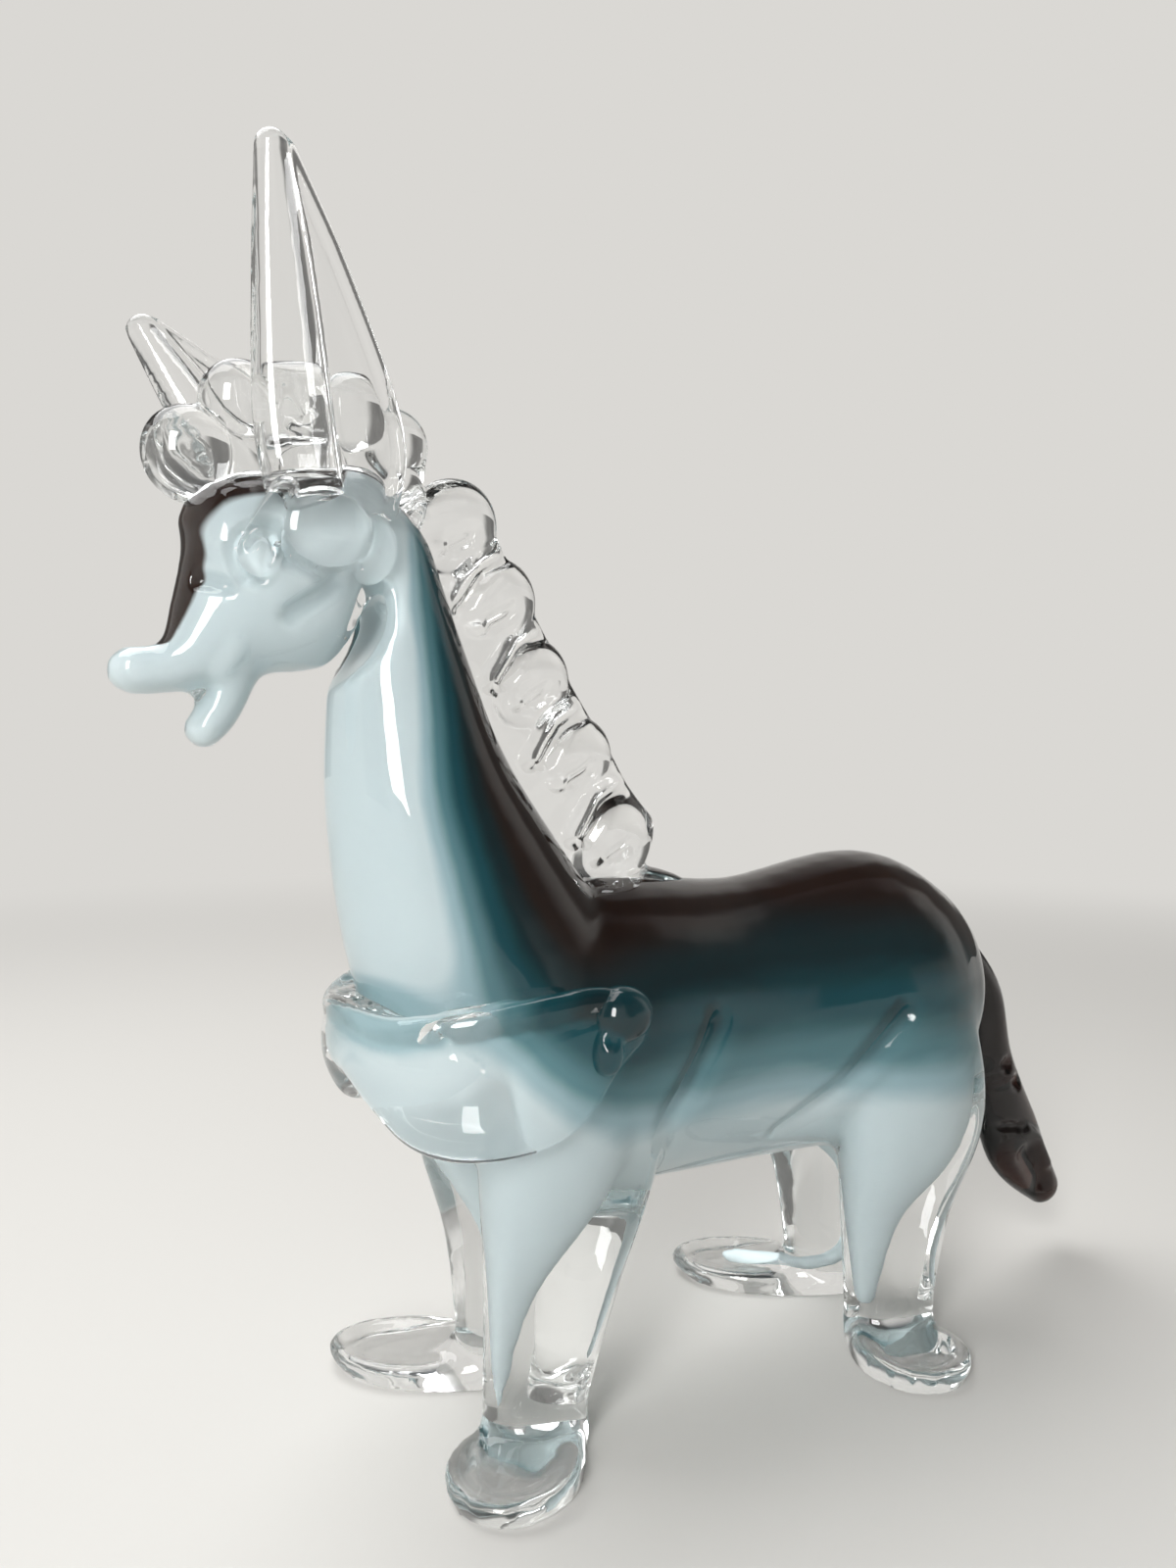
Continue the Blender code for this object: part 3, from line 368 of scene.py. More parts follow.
def blend(a, b, c, d, t):
    """Catmull-Rom value between b and c."""
    slope_in = (c - a) / 2
    slope_out = (d - b) / 2
    return ((2 * t**3 - 3 * t**2 + 1) * b + (t**3 - 2 * t**2 + t) * slope_in
            + (3 * t**2 - 2 * t**3) * c + (t**3 - t**2) * slope_out)


def spread(sections, steps):
    """Sections on a smooth curve through the given ones."""
    padded = [sections[0], *sections, sections[-1]]
    run = []
    for four in zip(padded, padded[1:], padded[2:], padded[3:]):
        for step in range(steps):
            run.append(Section(*(blend(*values, step / steps) for values in zip(*four))))
    run.append(sections[-1])
    return run


def frame_at(run, index, across):
    """Spine direction, depth axis and width axis of one section of a run."""
    along = centre(run[min(index + 1, len(run) - 1)]) - centre(run[max(index - 1, 0)])
    along.normalize()
    width_axis = (across - along * across.dot(along)).normalized()
    return along, along.cross(width_axis), width_axis


def back_at(run, index, back):
    """Depth axis of one section of a run, turned toward the back."""
    _, depth_axis, _ = frame_at(run, index, ACROSS)
    return depth_axis if depth_axis.dot(back) > 0 else -depth_axis


def add_ring(bm, middle, depth_arm, width_arm, along, sides):
    """One ellipse of edges."""
    turn = Matrix((depth_arm, width_arm, along)).transposed().to_4x4()
    ring = bmesh.ops.create_circle(bm, cap_ends=False, segments=sides, radius=1.0,
                                   matrix=Matrix.Translation(middle) @ turn)
    return list({edge for vert in ring["verts"] for edge in vert.link_edges})


def cap(section, inner):
    """Lifts and shares of the rings that round off an end and carry on its taper."""
    step = (centre(section) - centre(inner)).length
    lean = math.atan(max(0.0, (inner.depth - section.depth) / step))
    reach = min(section.depth, section.width) / math.cos(lean)
    tips = []
    for index in range(1, CAP_STEPS + 1):
        angle = lean + (CAP_END - lean) * index / CAP_STEPS
        tips.append(((math.sin(angle) - math.sin(lean)) * reach, math.cos(angle) / math.cos(lean)))
    return tips


def loft(bm, sections, across=ACROSS, sides=24, steps=5):
    """Bridge rings through unlike sections into a closed tube with rounded ends."""
    run = spread(sections, steps)
    last = len(run) - 1
    rings = []
    for index, section in enumerate(run):
        along, depth_axis, width_axis = frame_at(run, index, across)
        tips = [(0.0, 1.0)]
        if index == 0:
            tips = [(-lift, share) for lift, share in reversed(cap(section, run[1]))] + tips
        if index == last:
            tips = tips + cap(section, run[last - 1])
        for lift, share in tips:
            rings.append(add_ring(bm, centre(section) + along * lift,
                                  depth_axis * section.depth * share,
                                  width_axis * section.width * share,
                                  along, sides))
    for ring in (rings[0], rings[-1]):
        bmesh.ops.contextual_create(bm, geom=ring)
    for ring, following in zip(rings, rings[1:]):
        bmesh.ops.bridge_loops(bm, edges=ring + following)


def blob(bm, middle, radii, axis=None, yaw=0.0):
    """An ellipsoid; its first radius lies along the axis, and yaw turns it about that axis."""
    turn = Matrix.Identity(3)
    if axis is not None:
        first = axis.normalized()
        second = (ACROSS - first * ACROSS.dot(first)).normalized()
        turn = Matrix((first, second, first.cross(second))).transposed()
        turn = Matrix.Rotation(math.radians(yaw), 3, first) @ turn
    bmesh.ops.create_uvsphere(bm, u_segments=28, v_segments=18, radius=1.0,
                              matrix=Matrix.LocRotScale(middle, turn, Vector(radii)))


def solid(name, bm):
    """A mesh object from a bmesh of closed shells."""
    bmesh.ops.recalc_face_normals(bm, faces=bm.faces)
    mesh = bpy.data.meshes.new(name)
    bm.to_mesh(mesh)
    bm.free()
    obj = bpy.data.objects.new(name, mesh)
    bpy.context.scene.collection.objects.link(obj)
    return obj


def modified(obj, kind, **settings):
    """Add a modifier to a piece."""
    made = obj.modifiers.new(kind, kind)
    for name, value in settings.items():
        setattr(made, name, value)


def trim(obj, tool):
    """Cut a tool out of a piece."""
    modified(obj, "BOOLEAN", operation="DIFFERENCE", solver="EXACT", object=tool)


def settle(obj):
    """Apply a piece's modifiers to its mesh."""
    graph = bpy.context.evaluated_depsgraph_get()
    mesh = bpy.data.meshes.new_from_object(obj.evaluated_get(graph))
    obj.modifiers.clear()
    rough = obj.data
    obj.data = mesh
    mesh.name = obj.name
    bpy.data.meshes.remove(rough)


def discard(obj):
    """Remove a tool that has done its work."""
    mesh = obj.data
    bpy.data.objects.remove(obj)
    bpy.data.meshes.remove(mesh)


def melt(name, bm, grain, flow, slot=None):
    """Fuse the lofts of a bmesh into one smooth piece, round a slot if one is given."""
    obj = solid(name, bm)
    modified(obj, "REMESH", mode="VOXEL", voxel_size=grain)
    if slot:
        trim(obj, slot)
        modified(obj, "REMESH", mode="VOXEL", voxel_size=grain)
    modified(obj, "SMOOTH", factor=0.5, iterations=flow)
    settle(obj)
    if slot:
        discard(slot)
    return obj


@contextmanager
def opened(obj):
    """The mesh of a piece as a bmesh, written back in the end."""
    bm = bmesh.new()
    bm.from_mesh(obj.data)
    yield bm
    bm.to_mesh(obj.data)
    bm.free()


def worked(obj, marks):
    """Press tool marks into a piece."""
    with opened(obj) as bm:
        bm.normal_update()
        for line, reach, depth in marks:
            points = [Vector(point) for point in line]
            moves = []
            for vert in bm.verts:
                nearest = min(gap_to(vert.co, a, b) for a, b in zip(points, points[1:])) / reach
                if nearest < 1:
                    moves.append((vert, vert.normal * depth * (1 - nearest**2) ** 2))
            for vert, move in moves:
                vert.co -= move
    return obj


def stroked(bm, verts):
    """Stroke the glass at some points smooth."""
    bmesh.ops.smooth_vert(bm, verts=verts, factor=0.5, use_axis_x=True, use_axis_y=True,
                          use_axis_z=True)


def paddled(obj, strokes):
    """Stroke the forehead smooth."""
    start, end = (Vector(point) for point in FOREHEAD.line)
    with opened(obj) as bm:
        near = [vert for vert in bm.verts if gap_to(vert.co, start, end) < PADDLE_REACH]
        for _ in range(strokes):
            stroked(bm, near)


def gap_to(point, start, end):
    """Distance from a point to a stretch of line."""
    spot, share = intersect_point_line(point, start, end)
    if share < 0:
        spot = start
    if share > 1:
        spot = end
    return (point - spot).length


def polished(mesh):
    """Shade a mesh smooth up to the lines where bits meet."""
    mesh.shade_smooth()
    mesh.set_sharp_from_angle(angle=SHARP_PAST)


def placed(obj):
    """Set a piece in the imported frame."""
    obj.data.transform(Matrix.Translation(SET_OFF))
    return obj


def finish(obj, material, slot, *nodes):
    """Give a placed piece its glass and let it stand for its nodes."""
    mesh = obj.data
    mesh.materials.clear()
    mesh.materials.append(material)
    polished(mesh)
    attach(obj, "root")
    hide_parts(*nodes)


def mirrored(section, side):
    """A section of one side, put on the left or the right."""
    return section._replace(y=section.y * side)


def thinner(section, wall):
    """A section of the core under a casing of the given wall."""
    return section._replace(depth=section.depth - wall, width=section.width - wall)


def both_sides(marks, wall=0.0):
    """Marks of the right side and the same on the left, a wall further in."""
    return [Mark([(x, side * (y - wall), z) for x, y, z in mark.line], mark.reach, mark.depth)
            for mark in marks for side in (LEFT, RIGHT)]


def blob_pairs(bm, blobs):
    """Ellipsoids of the right side and the same on the left."""
    for middle, radii in blobs:
        for side in (LEFT, RIGHT):
            blob(bm, Vector((middle.x, middle.y * side, middle.z)), radii)


def throat_slot(wall):
    """The tool that keeps cheek and neck apart, with a wall of clear glass left about it."""
    bm = bmesh.new()
    loft(bm, [Section(x, 0, z, half + wall, THROAT_HALF) for x, z, half in THROAT], sides=20)
    return solid("throat_slot", bm)


def fine_head(obj):
    """Halve the faces of the head, which carries the finest marks."""
    with opened(obj) as bm:
        head = [edge for edge in bm.edges
                if all(vert.co.x < HEAD_BACK and vert.co.z > HEAD_FOOT for vert in edge.verts)]
        bmesh.ops.subdivide_edges(bm, edges=head, cuts=1, smooth=0.5, use_grid_fill=True)
        bmesh.ops.triangulate(bm, faces=[face for face in bm.faces if len(face.verts) > 4])


def eye_arc(wide, high, out, first, last, steps):
    """A line round the middle of an eye, from one angle to another."""
    turns = [math.radians(first + (last - first) * step / steps) for step in range(steps + 1)]
    return [EYE + Vector((wide * math.cos(turn), out, high * math.sin(turn))) for turn in turns]


# Chill lines where pads and prunts touched down and the curve stamped into each eye, on the right,
# and the prints that they leave in the opal below
EYE_RING = eye_arc(EYE_SIZE.x, EYE_SIZE.z, out=0.0, first=0, last=360, steps=16)
EYE_CURL = eye_arc(0.0027, 0.0030, out=EYE_SIZE.y, first=-50, last=160, steps=6)
SEAMS = (Mark(PAD_SEAM, 0.0019, 0.0017), Mark(EYE_RING, 0.0014, 0.0014))
STAMPS = (Mark(EYE_CURL, 0.0017, 0.0020),)
SEAM_PRINTS = (Mark(PAD_SEAM, 0.0028, 0.0018), Mark(EYE_RING, 0.0020, 0.0015))
STAMP_PRINTS = (Mark(EYE_CURL, 0.0015, 0.0018),)


def node(tree, kind, inputs=None, **settings):
    """Add a node; inputs are values, sockets or nodes whose first output is linked."""
    made = tree.nodes.new(kind)
    for name, value in settings.items():
        setattr(made, name, value)
    for name, value in (inputs or {}).items():
        if isinstance(value, bpy.types.Node):
            value = value.outputs[0]
        if isinstance(value, bpy.types.NodeSocket):
            tree.links.new(value, made.inputs[name])
        else:
            made.inputs[name].default_value = value
    return made


def blank(name):
    """A material with an empty tree."""
    material = bpy.data.materials.new(name)
    material.use_nodes = True
    tree = material.node_tree
    tree.nodes.clear()
    return material, tree


def waved_glass(name, tint, density, scale, detail, strength, roughness):
    """A glass tinted through its depth, with the low waves that tools leave on its skin."""
    found = bpy.data.materials.get(name)
    if found:
        return found
    material, tree = blank(name)
    place = node(tree, "ShaderNodeTexCoord")
    waves = node(tree, "ShaderNodeTexNoise",
                 {"Vector": place.outputs["Object"], "Scale": scale, "Detail": detail})
    bump = node(tree, "ShaderNodeBump", {"Height": waves, "Strength": strength, "Distance": 0.0006})
    shader = node(tree, "ShaderNodeBsdfPrincipled",
                  {"Base Color": (1.0, 1.0, 1.0, 1.0), "Roughness": roughness, "IOR": 1.5,
                   "Transmission Weight": 1.0, "Normal": bump})
    depth = node(tree, "ShaderNodeVolumeAbsorption", {"Color": tint, "Density": density})
    node(tree, "ShaderNodeOutputMaterial", {"Surface": shader, "Volume": depth})
    return material


def clear_glass():
    """Clear soda-lime glass, fire-polished: bright edges, with faint waves about 9 mm apart."""
    tint = bpy.context.scene.glass_horse.colours.clear
    return waved_glass("clear soda-lime glass, fire-polished", tint, density=4.0,
                       scale=110.0, detail=1.0, strength=0.10, roughness=0.015)


def smoke_glass():
    """Smoke brown glass, pinched while soft: near black, brown where thin, waves 6 mm apart."""
    tint = bpy.context.scene.glass_horse.colours.amber
    return waved_glass("smoke brown glass, pinched", tint, density=700.0,
                       scale=160.0, detail=2.0, strength=0.18, roughness=0.012)


def opal_glass():
    """Opal white glass under teal and smoke overlays that were drawn out along the gather."""
    colours = bpy.context.scene.glass_horse.colours
    material, tree = blank("opal white glass, teal and smoke overlay")
    pull = node(tree, "ShaderNodeAttribute", attribute_name="pull")
    axes = node(tree, "ShaderNodeSeparateXYZ", {"Vector": pull.outputs["Vector"]})
    # Streaks some 5 mm wide that run ten times as long, as the overlay was drawn out
    run = node(tree, "ShaderNodeMath", {0: axes.outputs["X"], 1: 20.0}, operation="MULTIPLY")
    turn = node(tree, "ShaderNodeMath", {0: axes.outputs["Y"], 1: 9.0}, operation="MULTIPLY")
    stretch = node(tree, "ShaderNodeCombineXYZ", {"X": run, "Y": turn})
    streak = node(tree, "ShaderNodeTexNoise", {"Vector": stretch, "Scale": 1.0, "Detail": 4.0})
    shift = node(tree, "ShaderNodeMapRange", {"Value": streak, "To Min": -0.10, "To Max": 0.10})
    level = node(tree, "ShaderNodeMath", {0: axes.outputs["Z"], 1: shift}, operation="ADD")
    share = node(tree, "ShaderNodeMapRange", {"Value": level, "From Min": -1.0, "From Max": 1.0})
    ramp = node(tree, "ShaderNodeValToRGB", {"Fac": share})
    ramp.color_ramp.interpolation = "EASE"
    stops = ((0.24, colours.opal), (0.34, colours.mist), (0.45, colours.lake),
             (0.60, colours.teal), (0.77, colours.deep), (0.95, colours.smoke))
    elements = ramp.color_ramp.elements
    for index, (place, tint) in enumerate(stops):
        stop = elements[index] if index < 2 else elements.new(place)
        stop.position = place
        stop.color = tint
    # The strip down the forehead was laid on cold, so its edge is crisp
    strip = node(tree, "ShaderNodeAttribute", attribute_name="strip")
    edge = node(tree, "ShaderNodeMapRange",
                {"Value": strip.outputs["Fac"], "From Min": -0.02, "From Max": 0.05},
                interpolation_type="SMOOTHSTEP")
    overlay = node(tree, "ShaderNodeMix", {0: edge, 6: ramp, 7: colours.smoke}, data_type="RGBA")
    shader = node(tree, "ShaderNodeBsdfPrincipled",
                  {"Base Color": overlay.outputs[2], "Roughness": 0.55, "Specular IOR Level": 0.1})
    node(tree, "ShaderNodeOutputMaterial", {"Surface": shader})
    return material


# For each section of a spine: where up its side the teal is half drawn out, how fast it shades, and
# where the crisp smoke strip of the forehead begins
Spine = namedtuple("Spine", "sections back start leans gains edges")
SPINES = (
    Spine(TORSO, UP, 0.0, (-0.42, -0.15, 0.0, -0.06, 0.30), (1.0, 1.0, 1.0, 1.15, 1.15),
          (3.0,) * 5),
    Spine(NECK, AFT, 0.15, (-0.15, -0.11, -0.04, 0.22, 0.50),
          (1.8, 2.1, 1.95, 1.65, 1.5), (3.0, 3.0, 2.0, 1.3, 0.7)),
    Spine(FACE, UP, 0.30, (0.9,) + (1.6,) * 5, (1.5,) * 6,
          (0.45, 0.66, 0.66, 0.58, 0.62, 1.0)),
)
SPINE_STEPS = 16
NEARNESS = 5  # power by which the nearer spine counts for more
CLOSEST = 1e-4
BLEED = 20


def evened(mesh, values):
    """Let the values at the points of a mesh bleed into their neighbours."""
    ends = np.empty(len(mesh.edges) * 2, dtype=np.int32)
    mesh.edges.foreach_get("vertices", ends)
    start, end = ends.reshape(-1, 2).T
    total = len(values)
    count = np.bincount(start, minlength=total) + np.bincount(end, minlength=total)
    for _ in range(BLEED):
        columns = []
        for column in values.T:
            columns.append(np.bincount(start, column[end], total)
                           + np.bincount(end, column[start], total))
        values = np.stack(columns, axis=1) / count[:, None]
    return values


def drawn_out(mesh):
    """Store at each point how far along, round and toward the back of the gather it lies."""
    points = np.empty(len(mesh.vertices) * 3)
    mesh.vertices.foreach_get("co", points)
    points = points.reshape(-1, 3)
    total = np.zeros((len(points), 4))
    weights = np.zeros((len(points), 1))
    for spine in SPINES:
        run = spread(spine.sections, SPINE_STEPS)
        middles = np.array([section[:3] for section in run])
        sizes = np.array([max(section.depth, section.width) for section in run])
        backs = [back_at(run, index, spine.back) for index in range(len(run))]
        steps = np.linalg.norm(np.diff(middles, axis=0), axis=1)
        reach = spine.start + np.concatenate(([0.0], np.cumsum(steps)))
        gaps = np.linalg.norm(points[:, None] - middles[None], axis=2)
        near = gaps.argmin(axis=1)
        away = points - middles[near]
        depths = np.array([section.depth for section in run])[near]
        up = (away * np.array(backs)[near]).sum(axis=1) / depths
        lean, gain, edge = (np.interp(near / SPINE_STEPS, range(len(values)), values)
                            for values in (spine.leans, spine.gains, spine.edges))
        level = np.clip((up - lean) * gain, -1, 1)
        share = (sizes[near] / np.maximum(gaps.min(axis=1), CLOSEST)) ** NEARNESS
        side = np.arctan2(np.abs(away[:, 1]), up * depths) / math.pi
        total += np.stack((reach[near], side, level, up - edge), axis=1) * share[:, None]
        weights[:, 0] += share
    values = evened(mesh, total / weights).astype(np.float32)
    pull = mesh.attributes.new("pull", "FLOAT_VECTOR", "POINT")
    pull.data.foreach_set("vector", values[:, :3].ravel())
    strip = mesh.attributes.new("strip", "FLOAT", "POINT")
    strip.data.foreach_set("value", values[:, 3].ravel())


def trunk(bm, body=0.0, neck=0.0, head=0.0, lip=0.0):
    """Lofts of torso, neck, head and lips, under casings of the given walls."""
    loft(bm, [thinner(section, body) for section in TORSO], sides=36)
    loft(bm, [thinner(section, neck) for section in NECK], sides=32)
    loft(bm, [thinner(section, head) for section in (NECK_TOP, POLL)])
    walls = (head,) * 4 + (lip,) * 2
    loft(bm, [thinner(section, wall) for section, wall in zip(FACE, walls)])
    loft(bm, [thinner(section, lip) for section in CHIN])


def stations(leg):
    """Sections of a leg, from the top down to its ankle."""
    return [*(mirrored(section, leg.side) for section in leg.uppers), leg.knee, leg.ankle]


class GLASSHORSE_OT_core(bpy.types.Operator):
    """Draw the opal core out of the gather: torso, neck, head and a strand down each leg"""

    bl_idname = "glass_horse.core"
    bl_label = "Opal core"

    def execute(self, context):
        sizes = context.scene.glass_horse.sizes
        bm = bmesh.new()
        trunk(bm, sizes.body_wall, sizes.neck_wall, sizes.head_wall, sizes.lip_wall)
        for leg in LEGS:
            loft(bm, self.strand(leg))
        core = melt("glass_core", bm, sizes.body_grain, flow=9, slot=throat_slot(sizes.head_wall))
        fine_head(core)
        worked(core, [*both_sides(CORE_CREASES, sizes.body_wall),
                      *both_sides(SEAM_PRINTS, sizes.head_wall),
                      *both_sides(STAMP_PRINTS, EYE_SIZE.y + sizes.head_wall),
                      *both_sides(FACE_MARKS, sizes.head_wall), FOREHEAD])
        paddled(core, CORE_STROKES)
        drawn_out(core.data)
        finish(placed(core), opal_glass(), "opal_glass", "opal_core")
        return {"FINISHED"}

    def strand(self, leg):
        """Sections of the strand in one leg, thinning toward the ankle."""
        strand = []
        for section, (share, forward) in zip(stations(leg), STRANDS[leg.name]):
            strand.append(section._replace(x=section.x - section.depth * forward,
                                           depth=section.depth * share,
                                           width=section.width * share))
        if leg.name == "hind_right":
            for forward, out, radius in SWIRL:
                strand.append(Section(leg.ankle.x - forward, leg.ankle.y + out, SWIRL_HEIGHT,
                                      radius, radius))
        return strand


class GLASSHORSE_OT_body(bpy.types.Operator):
    """Cover the core with clear glass, pull the legs and flatten the four feet"""

    bl_idname = "glass_horse.body"
    bl_label = "Clear body"

    def execute(self, context):
        sizes = context.scene.glass_horse.sizes
        bm = bmesh.new()
        trunk(bm)
        for leg in LEGS:
            loft(bm, [*stations(leg), leg.ankle._replace(z=0.0)])
            self.foot(bm, leg)
        body = melt("glass_body", bm, sizes.body_grain, flow=9, slot=throat_slot(0.0))
        fine_head(body)
        worked(body, [*both_sides(CREASES), *both_sides(FACE_MARKS), FOREHEAD])
        paddled(body, PADDLE_STROKES)
        self.stand(body)
        names = ["foot_" + leg.name for leg in LEGS]
        finish(placed(body), clear_glass(), "clear_glass", "clear_casing", *names)
        return {"FINISHED"}

    def foot(self, bm, leg):
        """A dished tongue with a rolled rim, splayed outward from the ankle."""
        heel = centre(leg.ankle._replace(z=0))
        splay = math.radians(leg.splay)
        toward = Vector((-math.cos(splay), leg.side * math.sin(splay), 0))
        aside = UP.cross(toward)
        loft(bm, [Section(*(heel + toward * leg.reach * share), height, FOOT_HALF * width)
                  for share, height, width in FOOT_SHAPE])
        rim = []
        for step in range(RIM_STEPS + 1):
            turn = math.radians(RIM_SWEEP * (2 * step / RIM_STEPS - 1))
            middle = heel + toward * (leg.reach / 2 + (leg.reach / 2 - FOOT_RIM) * math.cos(turn))
            middle += aside * (FOOT_HALF - FOOT_RIM) * math.sin(turn)
            rim.append(Section(*(middle + UP * FOOT_RIM * RIM_LIFT), FOOT_RIM, FOOT_RIM))
        loft(bm, rim, across=UP, sides=14, steps=3)

    def stand(self, body):
        """Flatten the soles on the floor and round their edges."""
        with opened(body) as bm:
            for vert in bm.verts:
                vert.co.z = max(vert.co.z, 0.0)
            for _ in range(SOLE_STROKES):
                stroked(bm, [vert for vert in bm.verts if vert.co.z < SOLE_EDGE])
            floor = min(vert.co.z for vert in bm.verts)
            for vert in bm.verts:
                if vert.co.z < SOLE_FLAT:
                    vert.co.z = floor
            bmesh.ops.translate(bm, vec=(0, 0, -floor), verts=bm.verts)


def body_piece():
    """The clear body, which the bits are laid on."""
    body = bpy.data.objects.get("glass_body")
    if body is None:
        raise RuntimeError("model the clear body first")
    return body


def applied(obj, material, slot, node_name):
    """Lay a bit on the body, cut back so that it is fused only a little way in."""
    tool = bpy.data.objects.new("seat", body_piece().data.copy())
    bpy.context.scene.collection.objects.link(tool)
    modified(tool, "DISPLACE", direction="NORMAL", mid_level=0.0,
             strength=-bpy.context.scene.glass_horse.sizes.fuse)
    trim(placed(obj), tool)
    settle(obj)
    discard(tool)
    finish(obj, material, slot, node_name)


def joined(obj, *nodes):
    """Make a clear bit one glass with the body, with a crisp line where they meet."""
    body = body_piece()
    modified(body, "BOOLEAN", operation="UNION", solver="MANIFOLD", object=placed(obj))
    settle(body)
    polished(body.data)
    discard(obj)
    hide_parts(*nodes)


class GLASSHORSE_OT_ears(bpy.types.Operator):
    """Pull two leaves of clear glass, each with a thick front rib, a web and a fine rear edge"""

    bl_idname = "glass_horse.ears"
    bl_label = "Ears"

    def execute(self, context):
        self.ear("left", LEFT, share=1.0, lean=0.0, outward=0.0)
        self.ear("right", RIGHT, RIGHT_EAR_SHARE, RIGHT_EAR_LEAN, RIGHT_EAR_SPREAD)
        return {"FINISHED"}

    def ear(self, name, side, share, lean, outward):
        """One ear: scaled in height from the left one, turned about its root."""
        sizes = bpy.context.scene.glass_horse.sizes
        bm = bmesh.new()
        sections = [mirrored(section, side) for section in EAR]
        root = centre(sections[0])
        loft(bm, [part._replace(width=part.width * EAR_WEB) for part in sections], steps=8)
        loft(bm, [part._replace(x=part.x - part.depth + part.width * rib, depth=part.width * rib)
                  for part, rib in zip(sections, EAR_RIB)], sides=20, steps=8)
        loft(bm, [part._replace(x=part.x + part.depth - EAR_EDGE, depth=EAR_EDGE, width=EAR_EDGE)
                  for part in sections], sides=14, steps=8)
        bmesh.ops.scale(bm, vec=(1, 1, share), space=Matrix.Translation(-root), verts=bm.verts)
        turn = Matrix.Rotation(math.radians(-outward * side), 3, "X")
        turn = turn @ Matrix.Rotation(math.radians(-lean), 3, "Y")
        bmesh.ops.rotate(bm, cent=root, matrix=turn, verts=bm.verts)
        ear = melt("glass_ear_" + name, bm, sizes.bit_grain, flow=5)
        applied(ear, clear_glass(), "clear_glass", "ear_" + name)


class GLASSHORSE_OT_eyes(bpy.types.Operator):
    """Press a pad for each ear's root on the head, and drop a stamped prunt for an eye beside it"""

    bl_idname = "glass_horse.eyes"
    bl_label = "Eyes and ear pads"

    def execute(self, context):
        sizes = context.scene.glass_horse.sizes
        bm = bmesh.new()
        blob_pairs(bm, EAR_PADS)
        joined(melt("ear_pads", bm, sizes.bit_grain, flow=4))
        bm = bmesh.new()
        blob_pairs(bm, ((EYE, EYE_SIZE),))
        for side in (LEFT, RIGHT):
            loft(bm, [mirrored(section, side) for section in EYE_TAIL])
        eyes = melt("eyes", bm, sizes.eye_grain, flow=6)
        joined(worked(eyes, both_sides(STAMPS)), "eye_left", "eye_right")
        worked(body_piece(), [Mark([Vector(point) + SET_OFF for point in line], reach, depth)
                              for line, reach, depth in both_sides(SEAMS)])
        return {"FINISHED"}


def along_line(points, share):
    """The point at a share of the way along a line of points."""
    lengths = [0.0]
    for a, b in zip(points, points[1:]):
        lengths.append(lengths[-1] + (b - a).length)
    want = lengths[-1] * share
    step = max(i for i in range(len(points) - 1) if lengths[i] <= want)
    return points[step].lerp(points[step + 1], (want - lengths[step]) /
                             (lengths[step + 1] - lengths[step]))


def web(bm, roots, tops, half):
    """A thin wall from a line on the glass up to a line of lobes."""
    strip = []
    for step in range(WEB_STEPS + 1):
        low = along_line(roots, step / WEB_STEPS)
        high = along_line(tops, step / WEB_STEPS)
        strip.append(Section(*low.lerp(high, 0.5), (high - low).length / 2 + WEB_PAST, half))
    loft(bm, strip, steps=2)


class GLASSHORSE_OT_mane(bpy.types.Operator):
    """Lay a bit down the back of the neck and crimp its outer edge into lobes"""

    bl_idname = "glass_horse.mane"
    bl_label = "Mane"

    def execute(self, context):
        sizes = context.scene.glass_horse.sizes
        count = sizes.mane_lobes
        middles = []
        for index in range(count):
            share = index / (count - 1)
            middles.append(MANE_FIRST.lerp(MANE_LAST, share) + MANE_BOW * math.sin(math.pi * share))
        down = (MANE_LAST - MANE_FIRST).normalized()
        outward = Vector((-down.z, 0, down.x))
        bm = bmesh.new()
        web(bm, self.roots(), [middles[0] - down * MANE_RISE, *middles[1:]], MANE_WEB)
        for index, middle in enumerate(middles):
            spot = middle - outward * MANE_SET_IN + ACROSS * MANE_SWAY * (-1) ** index
            blob(bm, spot, MANE_LOBE, outward - down * MANE_TILT, MANE_YAW)
        blob(bm, WITHERS, WITHERS_SIZE, WITHERS_WAY)
        mane = melt("glass_mane", bm, sizes.bit_grain, flow=7)
        worked(mane, self.marks(middles, down, outward))
        applied(mane, clear_glass(), "clear_glass", "mane")
        return {"FINISHED"}

    def marks(self, middles, down, outward):
        """Crimps from notch to root between the lobes, and a dent across each lobe."""
        marks = []
        for above, below in zip(middles, middles[1:]):
            middle_line = [above.lerp(below, share) + outward * MANE_LOBE.x * out
                           for share, out in CRIMP_LINE]
            for side in (LEFT, RIGHT):
                line = [point + ACROSS * side * MANE_WEB for point in middle_line]
                marks.append(Mark(line, *CRIMP))
                marks.append(Mark(line[:2], *CRIMP_EDGE))
        for middle in middles:
            for side in (LEFT, RIGHT):
                dent = middle + down * DENT_DROP + ACROSS * side * MANE_LOBE.y
                marks.append(Mark([dent - outward * inward for inward in DENT_SPAN], *LOBE_DENT))
        return marks

    def roots(self):
        """Points down the back of the neck, from its top to the withers."""
        run = spread(NECK, 4)
        points = []
        for index in reversed(range(len(run))):
            outward = back_at(run, index, AFT)
            point = centre(run[index]) + outward * (run[index].depth - ROOT_DEPTH)
            if point.z > WITHERS.z:
                points.append(point)
        return points + [WITHERS - UP * ROOT_DEPTH]


